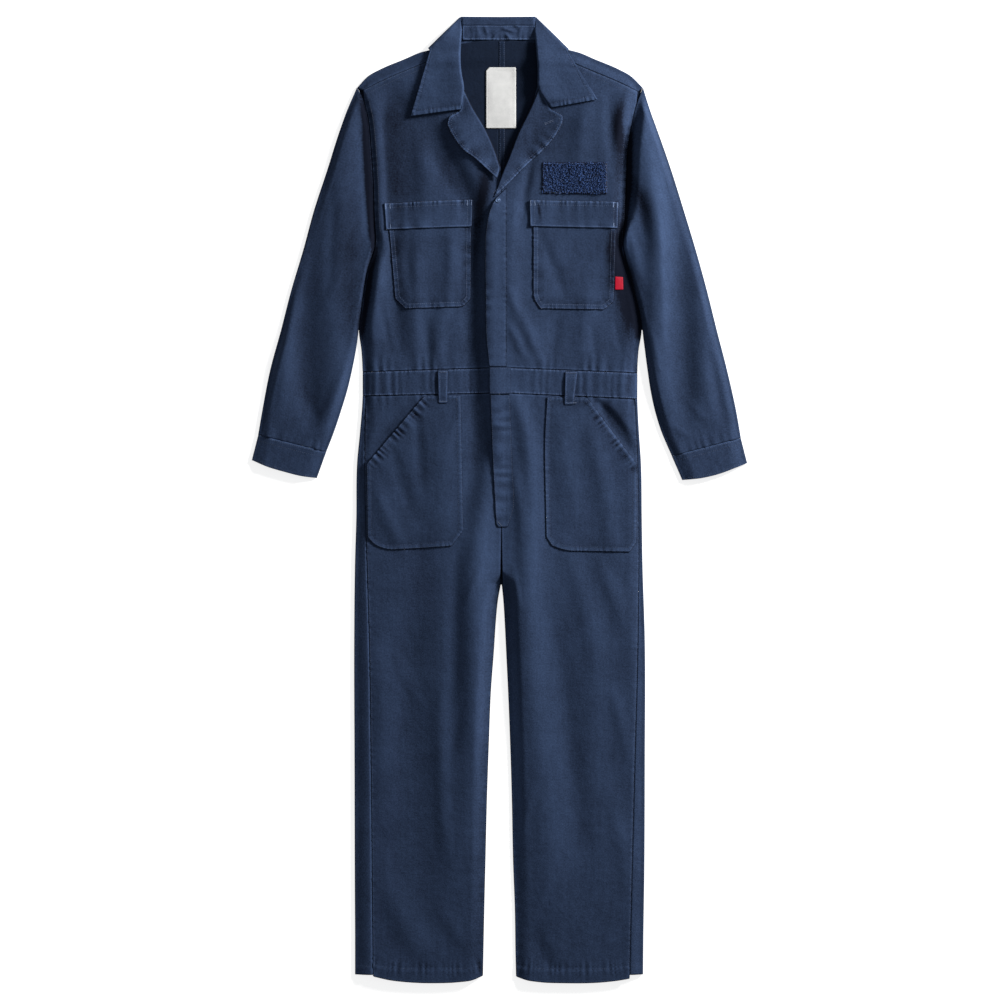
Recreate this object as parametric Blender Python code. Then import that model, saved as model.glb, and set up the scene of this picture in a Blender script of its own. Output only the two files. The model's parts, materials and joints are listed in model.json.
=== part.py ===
"""Boiler suit laid flat on its back, front up, head towards +Y.

Sizes in the tables are millimetres: x from the centre line (positive on the wearer's left),
y up from the hem, z from the surface that the suit lies on. Meshes are made in metres.
"""
from collections import namedtuple
from math import ceil, cos, floor, hypot, pi, sin, sqrt

import bmesh
import bpy

# ---------------------------------------------------------------- driving sizes
MM = 0.001
LENGTH = 1605.2              # collar roll to hem
CLOTH = 1.2                  # one layer of twill
GAP = 0.3                    # clearance between pieces
BAND = 1.8                   # doubled cloth: waistband, cuffs, plackets, lapels
LABEL_CLOTH = 1.0
BACK_MID = CLOTH / 2         # middle of the back layer's wall
LAYER = 2.4                  # middle of the back wall to middle of the front wall
FOLD_RADIUS = LAYER / 2      # middle line of a folded edge
FOLD_REACH = FOLD_RADIUS + CLOTH / 2
CROWN = 3.0                  # how far the front stands up away from its edges
CROWN_RUN = 45.0             # width over which it rises
SOFTNESS = 1.0               # rounding of the lowest troughs
EDGE_DIP = 1.4               # how far a free front edge comes down onto the back
DIP_RUN = 14.0
NECK_RAISE = 2.4             # back panel lifted over the collar fall beneath it
CENTRE = 3.0                 # x of the meeting line of the two fronts
GRID_X = 14.0                # spacing of the points that follow the creases
GRID_Y = 42.0
OUTLINE_LOW = -60.0          # heights that an outline is cut between
OUTLINE_HIGH = 90.0
HEM_DEPTH = 23.0
HEM_EXTRA = 0.8
STITCHED_EDGE = 1.0          # step over which a doubled edge thickens

CROTCH = 664.0
WAIST_TOP = 1021.6           # waistband at the centre front
WAIST_BOTTOM = 979.3
ARMPIT = 1220.0
SHOULDER_TIP = 1487.0
NECK_SEAM = 1565.4
COLLAR_SEAM = 1590.3
COLLAR_ROLL = 1604.5
FALL_EDGE = 1540.0
FOLD_STEPS = 4               # facets round a folded edge
DIAGONAL = sqrt(0.5)

SIDES = {"right": -1, "left": 1}

# Outer edge of the body, as distances from the centre line, shoulder tip to hem.
EdgeRow = namedtuple("EdgeRow", "y right left")
BODY_EDGE = (
    EdgeRow(1487, 236.5, 238.0),
    EdgeRow(1472, 228.5, 232.0),
    EdgeRow(1456, 223.5, 226.5),
    EdgeRow(1434, 218.5, 221.5),
    EdgeRow(1384, 213.5, 213.5),
    EdgeRow(1330, 210.0, 211.0),
    EdgeRow(1275, 208.5, 208.5),
    EdgeRow(1220, 207.5, 206.0),
    EdgeRow(1179, 220.5, 215.8),
    EdgeRow(1155, 224.0, 221.5),
    EdgeRow(1125, 227.5, 226.5),
    EdgeRow(1084, 229.0, 230.5),
    EdgeRow(1050, 230.0, 231.5),
    EdgeRow(1014, 227.5, 229.0),
    EdgeRow(972, 227.5, 229.0),
    EdgeRow(918, 231.5, 231.5),
    EdgeRow(865, 236.5, 235.0),
    EdgeRow(769, 238.0, 236.5),
    EdgeRow(702, 240.0, 237.5),
    EdgeRow(569, 241.5, 241.5),
    EdgeRow(370, 241.0, 241.5),
    EdgeRow(171, 240.5, 240.5),
    EdgeRow(71, 240.0, 239.0),
    EdgeRow(12, 240.0, 238.5),
)

# Inner edge of each leg from the crotch to the hem, as distances from the centre line.
INNER_LEG = (
    EdgeRow(664, -2.7, 3.3),
    EdgeRow(636, 2.5, 6.1),
    EdgeRow(603, 5.8, 8.3),
    EdgeRow(553, 9.1, 10.8),
    EdgeRow(486, 14.1, 14.1),
    EdgeRow(403, 17.4, 17.4),
    EdgeRow(304, 20.8, 20.4),
    EdgeRow(204, 23.2, 22.4),
    EdgeRow(121, 25.2, 25.4),
    EdgeRow(38, 26.9, 26.7),
    EdgeRow(12, 27.4, 27.4),
)

# Seam on the front where the wrapped trouser back meets the trouser front.
SIDE_SEAM = (
    EdgeRow(974, 222.9, 224.5),
    EdgeRow(865, 224.1, 229.8),
    EdgeRow(735, 221.6, 231.6),
    EdgeRow(569, 216.6, 229.9),
    EdgeRow(337, 213.3, 223.8),
    EdgeRow(71, 210.8, 217.2),
    EdgeRow(12, 210.0, 216.0),
)

# Height of the shoulder's folded edge at each distance from the centre line.
ShoulderRow = namedtuple("ShoulderRow", "x y")
SHOULDER = (
    ShoulderRow(236.5, 1487.4),
    ShoulderRow(217.0, 1507.0),
    ShoulderRow(198.0, 1517.5),
    ShoulderRow(160.0, 1533.5),
    ShoulderRow(130.0, 1545.5),
    ShoulderRow(118.0, 1548.5),
    ShoulderRow(103.0, 1551.5),
)

# Creases of the front: a line from one end to the other, half its width, and its height.
Fold = namedtuple("Fold", "x0 y0 x1 y1 half_width height")
FOLDS = (
    # centre front: trough beside the placket, roll behind it
    Fold(-42, 1320, -38, 890, 20, -6.0),
    Fold(-38, 900, -72, 690, 20, -5.0),
    Fold(-70, 690, -66, 570, 18, -3.5),
    Fold(18, 1300, 22, 1085, 30, 4.5),
    # body, wearer's right
    Fold(-182, 1300, -180, 1040, 20, 5.0),
    Fold(-96, 1250, -98, 1030, 17, 3.5),
    Fold(-140, 1240, -136, 1035, 15, -4.0),
    Fold(-212, 1180, -208, 1050, 13, -3.0),
    Fold(-66, 1130, -92, 1030, 13, 3.0),
    # body, wearer's left
    Fold(84, 1120, 66, 1025, 16, -4.0),
    Fold(110, 1150, 104, 1028, 15, 3.5),
    Fold(168, 1290, 172, 1040, 20, 4.5),
    Fold(205, 1240, 200, 1060, 16, -4.0),
    Fold(48, 1085, 26, 1030, 12, 3.0),
    # troughs along the armholes
    Fold(-214, 1440, -208, 1235, 18, -5.0),
    Fold(216, 1425, 207, 1235, 18, -5.0),
    # trousers, wearer's right
    Fold(-24, 850, -28, 540, 16, 5.0),
    Fold(-66, 860, -120, 690, 26, 4.5),
    Fold(-150, 660, -158, 300, 30, 4.0),
    Fold(-74, 569, -100, 337, 28, -4.0),
    Fold(-210, 216, -120, 38, 22, 5.5),
    Fold(-180, 176, -100, 14, 20, -4.5),
    Fold(-60, 330, -52, 60, 24, 3.5),
    Fold(-196, 620, -190, 330, 18, -3.5),
    # trousers, wearer's left
    Fold(84, 946, 88, 200, 30, 5.0),
    Fold(39, 968, 41, 553, 15, -4.5),
    Fold(146, 920, 200, 548, 22, -4.0),
    Fold(134, 690, 146, 192, 22, -4.5),
    Fold(190, 500, 196, 120, 26, 4.0),
    Fold(56, 420, 46, 90, 18, -3.0),
    Fold(120, 180, 176, 40, 22, 3.5),
    # sleeve, wearer's right
    Fold(-252, 1412, -264, 1235, 20, 5.5),
    Fold(-276, 1200, -312, 968, 18, -5.0),
    Fold(-322, 1190, -360, 920, 20, 5.0),
    Fold(-262, 1130, -300, 930, 16, 3.5),
    # sleeve, wearer's left
    Fold(262, 1412, 288, 1056, 24, 6.0),
    Fold(308, 1120, 334, 925, 16, -5.0),
    Fold(340, 1090, 370, 900, 19, 5.0),
    Fold(250, 1030, 300, 900, 15, 3.5),
)

COLOURS = {
    "navy_twill": (0.035, 0.052, 0.100, 1.0),
    "loop_pile": (0.020, 0.040, 0.105, 1.0),
    "red_tape": (0.560, 0.035, 0.070, 1.0),
    "white_tape": (0.740, 0.740, 0.730, 1.0),
    "dark_metal": (0.120, 0.125, 0.135, 1.0),
}
ROUGHNESS = {"dark_metal": 0.35}
METALLIC = {"dark_metal": 1.0}


# ---------------------------------------------------------------- small mathematics
def smooth(t):
    """Ease from 0 to 1 as t goes from 0 to 1."""
    t = min(max(t, 0.0), 1.0)
    return t * t * (3 - 2 * t)


def lerp(a, b, t):
    return a + (b - a) * t


def lerp_point(p, q, t):
    return tuple(lerp(a, b, t) for a, b in zip(p, q))


def table_value(rows, key, value, column):
    """Read a column of a table, between its rows, where the key column has the given value."""
    ordered = sorted(rows, key=lambda row: getattr(row, key))
    if value <= getattr(ordered[0], key):
        return getattr(ordered[0], column)
    for low, high in zip(ordered, ordered[1:]):
        start, end = getattr(low, key), getattr(high, key)
        if value <= end:
            share = (value - start) / (end - start)
            return lerp(getattr(low, column), getattr(high, column), share)
    return getattr(ordered[-1], column)


def distances(points):
    """Running length of a line of points, as shares of the whole."""
    total = [0.0]
    for p, q in zip(points, points[1:]):
        total.append(total[-1] + hypot(q[0] - p[0], q[1] - p[1]))
    return [length / total[-1] for length in total]


def along(points, shares):
    """Points at the given shares of a line's length."""
    marks = distances(points)
    found = []
    for share in shares:
        index = 0
        while index < len(marks) - 2 and marks[index + 1] < share:
            index += 1
        local = (share - marks[index]) / (marks[index + 1] - marks[index])
        found.append(lerp_point(points[index], points[index + 1], local))
    return found


def even(count):
    return [index / count for index in range(count + 1)]


def patch(start, end, first, last, across, down):
    """Fill between four edges. start and end run across, first and last run down."""
    starts, ends = along(start, across), along(end, across)
    firsts, lasts = along(first, down), along(last, down)
    rows = []
    for v, left, right in zip(down, firsts, lasts):
        row = []
        for u, top, bottom in zip(across, starts, ends):
            point = []
            for axis in (0, 1):
                between_rows = lerp(top[axis], bottom[axis], v)
                between_columns = lerp(left[axis], right[axis], u)
                corner_top = lerp(starts[0][axis], starts[-1][axis], u)
                corner_bottom = lerp(ends[0][axis], ends[-1][axis], u)
                point.append(between_rows + between_columns - lerp(corner_top, corner_bottom, v))
            row.append(tuple(point))
        rows.append(row)
    return rows


# ---------------------------------------------------------------- height of the cloth
def fold_height(fold, x, y):
    """Height that one crease adds at a point: a rounded ridge or trough, fading at its ends."""
    run_x, run_y = fold.x1 - fold.x0, fold.y1 - fold.y0
    length = hypot(run_x, run_y)
    share = ((x - fold.x0) * run_x + (y - fold.y0) * run_y) / length ** 2
    share = min(max(share, 0.0), 1.0)
    off = hypot(x - fold.x0 - run_x * share, y - fold.y0 - run_y * share)
    if off >= fold.half_width:
        return 0.0
    fade = smooth(0.15 + min(share, 1 - share) * length / 60.0)
    return fold.height * fade * (0.5 + 0.5 * cos(pi * off / fold.half_width))


def rise(x, y, edge):
    """Crown and creases together, never below the layer under them."""
    height = CROWN * edge + edge * sum(fold_height(fold, x, y) for fold in FOLDS)
    return 0.5 * (height + sqrt(height ** 2 + SOFTNESS ** 2))


def back_height(x, y):
    """Middle of the back panel's wall, lifted at the neck over the collar fall."""
    lift = smooth((y - FALL_EDGE + 26.0) / 24.0) * smooth((160.0 - abs(x)) / 34.0)
    return BACK_MID + NECK_RAISE * lift


def shoulder_line(x):
    return table_value(SHOULDER, "x", abs(x), "y")


def side_name(x):
    return "left" if x > CENTRE else "right"


def front_height(x, y):
    """Middle of the front layer's wall."""
    side = side_name(x)
    out = SIDES[side] * x
    to_side = table_value(BODY_EDGE, "y", y, side) - out
    to_inner = out - table_value(INNER_LEG, "y", y, side) + max(y - CROTCH, 0.0)
    to_shoulder = max(shoulder_line(x) - y, 0.0) * 0.9
    edge = smooth(min(to_side, to_inner, to_shoulder) / CROWN_RUN)
    free_side = smooth((ARMPIT - y) / 30.0) * smooth((y - WAIST_BOTTOM + 40.0) / 30.0)
    dip = free_side * (1 - smooth(to_side / DIP_RUN))
    dip = max(dip, 1 - smooth(to_inner / DIP_RUN))
    return back_height(x, y) + LAYER + rise(x, y, edge) - EDGE_DIP * dip


# ---------------------------------------------------------------- meshes
def material(slot):
    made = bpy.data.materials.get(slot)
    if made is None:
        made = bpy.data.materials.new(slot)
        made.use_nodes = True
        shader = made.node_tree.nodes["Principled BSDF"]
        shader.inputs["Base Color"].default_value = COLOURS[slot]
        shader.inputs["Roughness"].default_value = ROUGHNESS.get(slot, 0.85)
        shader.inputs["Metallic"].default_value = METALLIC.get(slot, 0.0)
    return made


def to_frame(x, y, z):
    """Millimetres from the hem to metres from the middle of the suit."""
    return (x * MM, (y - LENGTH / 2) * MM, z * MM)


def add_object(name, bm, slot):
    mesh = bpy.data.meshes.new(name)
    bm.to_mesh(mesh)
    bm.free()
    made = bpy.data.objects.new(name, mesh)
    bpy.context.scene.collection.objects.link(made)
    if slot:
        made.data.materials.append(material(slot))
    return made


def bake_modifiers(made):
    """Replace an object's mesh by what its modifiers make of it."""
    bpy.context.view_layer.update()
    graph = bpy.context.evaluated_depsgraph_get()
    mesh = bpy.data.meshes.new_from_object(made.evaluated_get(graph))
    mesh.name = made.name
    made.modifiers.clear()
    made.data = mesh


def wall(name, grids, slot="navy_twill", thickness=CLOTH):
    """A wall of cloth round the middle surface given by grids of points that share edges."""
    bm = bmesh.new()
    for grid in grids:
        rows = [[bm.verts.new(to_frame(*point)) for point in row] for row in grid]
        for upper, lower in zip(rows, rows[1:]):
            for index in range(len(upper) - 1):
                bm.faces.new((upper[index], upper[index + 1], lower[index + 1], lower[index]))
    bmesh.ops.remove_doubles(bm, verts=bm.verts[:], dist=1e-6)
    bmesh.ops.recalc_face_normals(bm, faces=bm.faces[:])
    made = add_object(name, bm, slot)
    solidify = made.modifiers.new("Wall", "SOLIDIFY")
    solidify.thickness = thickness * MM
    solidify.offset = 0.0
    solidify.use_even_offset = True
    solidify.use_quality_normals = True
    return made


def signed_area(outline):
    following = outline[1:] + outline[:1]
    return sum(p[0] * q[1] - q[0] * p[1] for p, q in zip(outline, following)) / 2


def inset(outline, amount):
    """Move every edge of an outline inwards."""
    points = list(outline)
    if signed_area(points) < 0:
        points.reverse()
    moved = []
    for before, here, after in zip(points[-1:] + points[:-1], points, points[1:] + points[:1]):
        run_in = (here[0] - before[0], here[1] - before[1])
        run_out = (after[0] - here[0], after[1] - here[1])
        length_in, length_out = hypot(*run_in), hypot(*run_out)
        normal_in = (-run_in[1] / length_in, run_in[0] / length_in)
        normal_out = (-run_out[1] / length_out, run_out[0] / length_out)
        scale = amount / (1 + normal_in[0] * normal_out[0] + normal_in[1] * normal_out[1])
        moved.append((here[0] + (normal_in[0] + normal_out[0]) * scale,
                      here[1] + (normal_in[1] + normal_out[1]) * scale))
    return moved


def grid_lines(low, high, step, extra=()):
    first, last = floor(low / step) - 1, ceil(high / step) + 1
    lines = {index * step for index in range(first, last + 1)}
    return sorted(lines.union(extra))


def slab(bm, columns, rows, bottom, top):
    """Closed slab between two heights over a grid, each cell split along the same diagonal."""
    low = [[bm.verts.new(to_frame(x, y, bottom(x, y))) for x in columns] for y in rows]
    high = [[bm.verts.new(to_frame(x, y, top(x, y))) for x in columns] for y in rows]
    for j in range(len(rows) - 1):
        for i in range(len(columns) - 1):
            bm.faces.new((high[j][i], high[j][i + 1], high[j + 1][i + 1]))
            bm.faces.new((high[j][i], high[j + 1][i + 1], high[j + 1][i]))
            bm.faces.new((low[j][i], low[j + 1][i + 1], low[j][i + 1]))
            bm.faces.new((low[j][i], low[j + 1][i], low[j + 1][i + 1]))
    for j in range(len(rows) - 1):
        bm.faces.new((low[j][0], high[j][0], high[j + 1][0], low[j + 1][0]))
        bm.faces.new((low[j + 1][-1], high[j + 1][-1], high[j][-1], low[j][-1]))
    for i in range(len(columns) - 1):
        bm.faces.new((low[0][i + 1], high[0][i + 1], high[0][i], low[0][i]))
        bm.faces.new((low[-1][i], high[-1][i], high[-1][i + 1], low[-1][i + 1]))


def prism(bm, outline, low, high):
    """Closed upright prism over an outline."""
    bottom = [bm.verts.new(to_frame(x, y, low)) for x, y in outline]
    top = [bm.verts.new(to_frame(x, y, high)) for x, y in outline]
    bm.faces.new(top)
    bm.faces.new(bottom[::-1])
    for index in range(len(outline)):
        after = (index + 1) % len(outline)
        bm.faces.new((bottom[index], bottom[after], top[after], top[index]))


def facet_height(height, x, y):
    """Height of a slab's flat facets at a point."""
    column, row = floor(x / GRID_X), floor(y / GRID_Y)
    share_x, share_y = x / GRID_X - column, y / GRID_Y - row
    corner, far = [[height((column + i) * GRID_X, (row + j) * GRID_Y) for i in (0, 1)]
                   for j in (0, 1)]
    if share_x >= share_y:
        return corner[0] + share_x * (corner[1] - corner[0]) + share_y * (far[1] - corner[1])
    return corner[0] + share_y * (far[0] - corner[0]) + share_x * (far[1] - far[0])


def flat_piece(name, outline, level=0, thickness=CLOTH, slot="navy_twill",
               base=front_height, lift=None, extra_top=None, extra_rows=()):
    """A piece cut to an outline that follows the cloth under it, one level higher per layer."""
    offset = -CLOTH / 2 if level == 0 else CLOTH / 2 + GAP + (level - 1) * (CLOTH + GAP)
    outline = inset(outline, GAP / 2)

    def bottom(x, y):
        return base(x, y) + offset + (lift(x, y) if lift else 0.0)

    def top(x, y):
        return bottom(x, y) + thickness + (extra_top(x, y) if extra_top else 0.0)

    xs, ys = zip(*outline)
    bm = bmesh.new()
    slab(bm, grid_lines(min(xs), max(xs), GRID_X),
         grid_lines(min(ys), max(ys), GRID_Y, extra_rows), bottom, top)
    made = add_object(name, bm, slot)
    bm = bmesh.new()
    prism(bm, outline, OUTLINE_LOW, OUTLINE_HIGH)
    cutter = add_object(name + "_outline", bm, None)
    cut = made.modifiers.new("Cut", "BOOLEAN")
    cut.operation = "INTERSECT"
    cut.solver = "EXACT"
    cut.object = cutter
    bake_modifiers(made)
    bpy.data.objects.remove(cutter, do_unlink=True)
    return made


def sided(side, points):
    """Points given as distances from the centre line, placed on one side of it."""
    return [(SIDES[side] * x, y) for x, y in points]


def edge_points(rows, side, low, high):
    """Points of an edge table between two heights, from the top down."""
    return [(getattr(row, side), row.y) for row in rows if low <= row.y <= high]


# ---------------------------------------------------------------- body
STRAP = {
    "right": [(226.6, 1482.4), (193.4, 1499.0), (128.7, 1526.0), (104.0, 1536.0)],
    "left": [(229.9, 1480.7), (193.4, 1497.3), (132.0, 1523.0), (106.0, 1534.0)],
}
NECKLINE = {
    "right": [(88.0, 1512.0), (70.0, 1494.0)],
    "left": [(90.0, 1512.0), (74.0, 1500.0)],
}
ROLL = {
    "right": [(60.6, 1487.4), (45.6, 1455.8), (22.4, 1416.0), (7.5, 1382.8), (-3.0, 1352.0)],
    "left": [(63.9, 1494.0), (52.3, 1455.8), (29.0, 1407.7), (12.4, 1364.5), (3.0, 1342.0)],
}
WAIST_END = {"right": (227.4, 1014.3), "left": (229.1, 1012.6)}
WAIST_FOOT = {"right": (227.4, 974.4), "left": (229.1, 969.4)}
BACK_WAIST_TOP = 1015.0
BACK_WAIST_FOOT = 971.9


def centre_x(side):
    return SIDES[side] * CENTRE


def bodice_front(side):
    armhole = edge_points(BODY_EDGE, side, ARMPIT, 1460)
    body_side = edge_points(BODY_EDGE, side, WAIST_TOP, ARMPIT - 1)
    outline = [(centre_x(side), WAIST_TOP), WAIST_END[side]]
    outline += body_side[::-1] + armhole[::-1] + STRAP[side] + NECKLINE[side] + ROLL[side]
    return flat_piece("bodice_front_" + side, sided(side, outline))


SHOULDER_SLOPE = (0.4, 0.92)   # direction square to the shoulder's folded edge
BACK_COLUMNS = 7


def shoulder_rows(side):
    """Points of the shoulder's folded edge, tip to neck, each with its seam point in front."""
    tip = (table_value(BODY_EDGE, "y", SHOULDER_TIP, side) - GAP, SHOULDER_TIP)
    edge = [tip] + [(row.x, row.y) for row in SHOULDER[1:]]
    seams = along(STRAP[side], distances(edge))
    return list(zip(edge, seams))


def bodice_back(side):
    """Half of the back, carried over the shoulder to the seam on the front."""
    sign = SIDES[side]
    slope_x, slope_y = SHOULDER_SLOPE
    columns = even(BACK_COLUMNS)
    grid = []
    heights = sorted(row.y for row in BODY_EDGE if WAIST_TOP < row.y < SHOULDER_TIP)
    for y in [BACK_WAIST_TOP + GAP] + heights:
        outer = table_value(BODY_EDGE, "y", y, side) - GAP / 2
        grid.append([(sign * lerp(GAP / 2, outer, u), y) for u in columns])
    wrap = []
    rows = shoulder_rows(side)
    for index, (edge, seam) in enumerate(rows):
        foot = (edge[0] - slope_x * FOLD_REACH, edge[1] - slope_y * FOLD_REACH)
        at_neck = index == len(rows) - 1
        centre_top = NECK_SEAM if at_neck else foot[1]
        row = []
        for u in columns:
            row.append((sign * lerp(GAP / 2, foot[0], u), lerp(centre_top, foot[1], u ** 2)))
        grid.append(row)
        base = back_height(*row[-1])
        strip = [(*row[-1], base)]
        for step in range(1, FOLD_STEPS + 1):
            angle = pi * step / FOLD_STEPS
            reach = FOLD_RADIUS * sin(angle)
            strip.append((row[-1][0] + sign * slope_x * reach, row[-1][1] + slope_y * reach,
                          base + FOLD_RADIUS * (1 - cos(angle))))
        end = (sign * (seam[0] + slope_x * GAP), seam[1] + slope_y * GAP)
        strip.append((*end, front_height(*end)))
        wrap.append(strip)
    flat = [[(x, y, back_height(x, y)) for x, y in row] for row in grid]
    return wall("bodice_back_" + side, [flat, wrap])


LAPEL_LIFT = 2.4
LAPEL_RUN = 34.0


def lapel_lift(x, y):
    """A turned-back lapel stands up along its roll and lies down towards its edge."""
    share = (y - ROLL["left"][-1][1]) / (ROLL["left"][0][1] - ROLL["left"][-1][1])
    roll_x = lerp(ROLL["left"][-1][0], ROLL["left"][0][0], share)
    return LAPEL_LIFT * (1 - smooth((abs(x) - roll_x) / LAPEL_RUN))


def lapels():
    right = [(-60.0, 1486.0), (-45.6, 1455.8), (-22.4, 1416.0), (-7.5, 1382.8), (1.6, 1354.0),
             (-3.6, 1333.6), (-20.8, 1349.6), (-40.7, 1367.8), (-60.6, 1381.1), (-78.8, 1406.0),
             (-87.1, 1425.9), (-83.8, 1437.6), (-67.0, 1447.0), (-64.2, 1450.0)]
    left = [(64.5, 1485.0), (52.3, 1455.8), (29.0, 1407.7), (12.4, 1364.5), (4.1, 1344.6),
            (-9.1, 1306.4), (-9.1, 1303.1), (20.8, 1331.3), (45.6, 1357.9), (68.9, 1377.8),
            (93.8, 1406.0), (105.4, 1429.3), (105.4, 1439.2), (90.0, 1449.0), (86.0, 1450.0),
            (67.5, 1484.0)]
    for side, outline in (("right", right), ("left", left)):
        flat_piece("lapel_" + side, outline, 1, BAND, lift=lapel_lift)


# ---------------------------------------------------------------- collar
CollarLeaf = namedtuple("CollarLeaf", "roll fold_end tip")
COLLAR = {
    "right": CollarLeaf([(65.6, COLLAR_ROLL), (65.6, 1510.0), (61.5, 1487.0), (65.6, 1449.6)],
                        (118.7, 1552.1), (146.9, 1439.2)),
    "left": CollarLeaf([(60.6, COLLAR_ROLL), (61.0, 1580.0), (66.0, 1511.0), (66.5, 1486.0),
                        (87.5, 1453.5)],
                       (115.4, 1550.4), (161.8, 1465.8)),
}
LEAF_CLEARANCE = 1.9
LEAF_RISE_RUN = 50.0
COLLAR_ACROSS = 6
COLLAR_DOWN = 8
UNDER_ROWS = [0.0, 0.06, 0.35, 0.7, 1.0]
BACK_EDGE = [(92.0, FALL_EDGE + 4.0), (55.0, FALL_EDGE + 1.0), (0.0, FALL_EDGE)]


def leaf_height(side, x, y):
    """Middle of a collar leaf's wall: above the front, coming down to the back roll."""
    corner = COLLAR[side].roll[0]
    away = hypot(SIDES[side] * x - corner[0], y - corner[1])
    low = BACK_MID + LAYER
    high = front_height(x, y) + LEAF_CLEARANCE
    return lerp(low, high, smooth(away / LEAF_RISE_RUN))


def collar_side(side):
    """Rows of one half of the collar, from its front end over the fold to the centre back."""
    sign = SIDES[side]
    leaf = COLLAR[side]
    across = even(COLLAR_ACROSS)
    corner = leaf.roll[0]
    fold = []
    for x, y in along([corner, leaf.fold_end], across):
        radius = (leaf_height(side, sign * x, y) - BACK_MID) / 2
        inwards = (radius + CLOTH / 2) * DIAGONAL
        fold.append((x - inwards, y - inwards, radius))
    foot = [(x, y) for x, y, radius in fold]
    front_end = [leaf.roll[-1], leaf.tip]
    roll_edge = [foot[0]] + leaf.roll[1:]
    outer_edge = [foot[-1], leaf.tip]
    rows = []
    down = even(COLLAR_DOWN)
    for row in patch(front_end, foot, roll_edge[::-1], outer_edge[::-1], across, down):
        rows.append([(sign * x, y, leaf_height(side, sign * x, y)) for x, y in row])
    rows[-1] = [(sign * x, y, BACK_MID + 2 * radius) for x, y, radius in fold]
    for step in range(1, FOLD_STEPS + 1):
        angle = pi - pi * step / FOLD_STEPS
        row = []
        for x, y, radius in fold:
            reach = radius * sin(angle) * DIAGONAL
            row.append((sign * (x + reach), y + reach, BACK_MID + radius * (1 - cos(angle))))
        rows.append(row)
    centre_back = [(0.0, COLLAR_ROLL - FOLD_REACH), (0.0, FALL_EDGE)]
    back_roll = [foot[0], (0.0, COLLAR_ROLL - FOLD_REACH)]
    under = patch(foot, centre_back, back_roll, [foot[-1]] + BACK_EDGE, across, UNDER_ROWS)
    for row in under[1:]:
        rows.append([(sign * x, y, BACK_MID) for x, y in row])
    return rows


def collar():
    """The fall: leaf, fold, under the back neck, fold, leaf, with a lip over the back roll."""
    right = collar_side("right")
    left = collar_side("left")
    band = right + left[-2::-1]
    roll_rows = [row[0] for row in right[-4:]] + [row[0] for row in left[-2:-5:-1]]
    lip = []
    for x, y, z in roll_rows:
        column = [(x, y, z)]
        for step in range(1, FOLD_STEPS + 1):
            angle = pi * step / FOLD_STEPS
            column.append((x, y + FOLD_RADIUS * sin(angle), z + FOLD_RADIUS * (1 - cos(angle))))
        column.append((x, COLLAR_SEAM + GAP, z + LAYER))
        lip.append(column)
    wall("collar", [band, lip])


def neck_pieces():
    stand = [(-60.0, NECK_SEAM + GAP), (60.0, NECK_SEAM + GAP), (60.0, COLLAR_SEAM),
             (-60.0, COLLAR_SEAM)]
    flat_piece("collar_stand", stand, base=back_height)
    label = [(-22.4, 1419.3), (27.4, 1419.3), (27.4, 1520.6), (-18.0, 1520.6), (-22.4, 1516.0)]
    flat_piece("neck_label", label, 1, LABEL_CLOTH, "white_tape", base=back_height)


# ---------------------------------------------------------------- sleeves
SLEEVE_OUTER = {
    "right": [(236.5, 1487.0), (253.0, 1449.0), (265.0, 1416.0), (286.0, 1350.0),
              (308.0, 1283.0), (326.0, 1217.0), (346.0, 1150.0), (363.0, 1084.0),
              (381.0, 1018.0), (394.0, 951.0), (401.0, 909.7)],
    "left": [(238.0, 1487.0), (250.0, 1449.0), (262.0, 1416.0), (285.0, 1350.0),
             (306.0, 1283.0), (326.0, 1217.0), (344.5, 1150.0), (361.0, 1084.0),
             (378.0, 1018.0), (393.0, 951.0), (401.0, 904.7)],
}
SLEEVE_INNER = {
    "right": [(208.5, 1220.0), (222.0, 1178.0), (225.5, 1155.0), (232.0, 1107.0),
              (237.0, 1062.0), (245.0, 1018.0), (253.0, 984.0), (263.0, 951.0),
              (275.0, 915.0), (288.0, 881.5)],
    "left": [(207.0, 1220.0), (214.6, 1190.0), (223.0, 1155.0), (233.5, 1114.0),
             (240.0, 1064.0), (246.0, 1018.0), (251.0, 984.0), (258.0, 951.0),
             (268.0, 918.0), (286.3, 874.8)],
}
CUFF_END = {
    "right": [(411.5, 868.2), (384.3, 856.6), (356.1, 848.3), (329.5, 841.6), (303.5, 838.3)],
    "left": [(411.5, 863.2), (391.0, 855.0), (369.0, 846.6), (336.0, 838.3), (303.5, 835.0)],
}
SLEEVE_ROWS = 13
CUFF_ACROSS = 7
CUFF_ROWS = 2
TUBE_GAP = 0.5
TUBE_ANGLES = (pi / 2, pi / 6, -pi / 6, -pi / 2)


def ring(row, middle, top_height, reach):
    """Closed cross-section of a flattened tube: front row, folded edge, back row, folded edge."""
    first, last = row[0], row[-1]
    width = hypot(last[0] - first[0], last[1] - first[1])
    inward = ((last[0] - first[0]) / width, (last[1] - first[1]) / width)
    radius = FOLD_RADIUS

    def edge(point, direction):
        turned = []
        for angle in TUBE_ANGLES:
            off = reach - radius * cos(angle)
            turned.append((point[0] + inward[0] * direction * off,
                           point[1] + inward[1] * direction * off,
                           middle + radius + radius * sin(angle)))
        return turned

    inner = row[1:-1]
    front = [(x, y, top_height(x, y)) for x, y in inner]
    back = [(x, y, middle) for x, y in inner[::-1]]
    points = edge(first, 1)[::-1] + front + edge(last, -1) + back
    return points + points[:1]


def sleeve_top(row, run_out):
    """Height of a sleeve's front: low at its two edges, and low where it meets the body."""
    first, last = row[0], row[-1]

    def height(x, y):
        to_edge = min(hypot(x - first[0], y - first[1]), hypot(x - last[0], y - last[1]))
        edge = smooth(to_edge / CROWN_RUN) * run_out
        return BACK_MID + LAYER + rise(x, y, edge)
    return height


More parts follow.
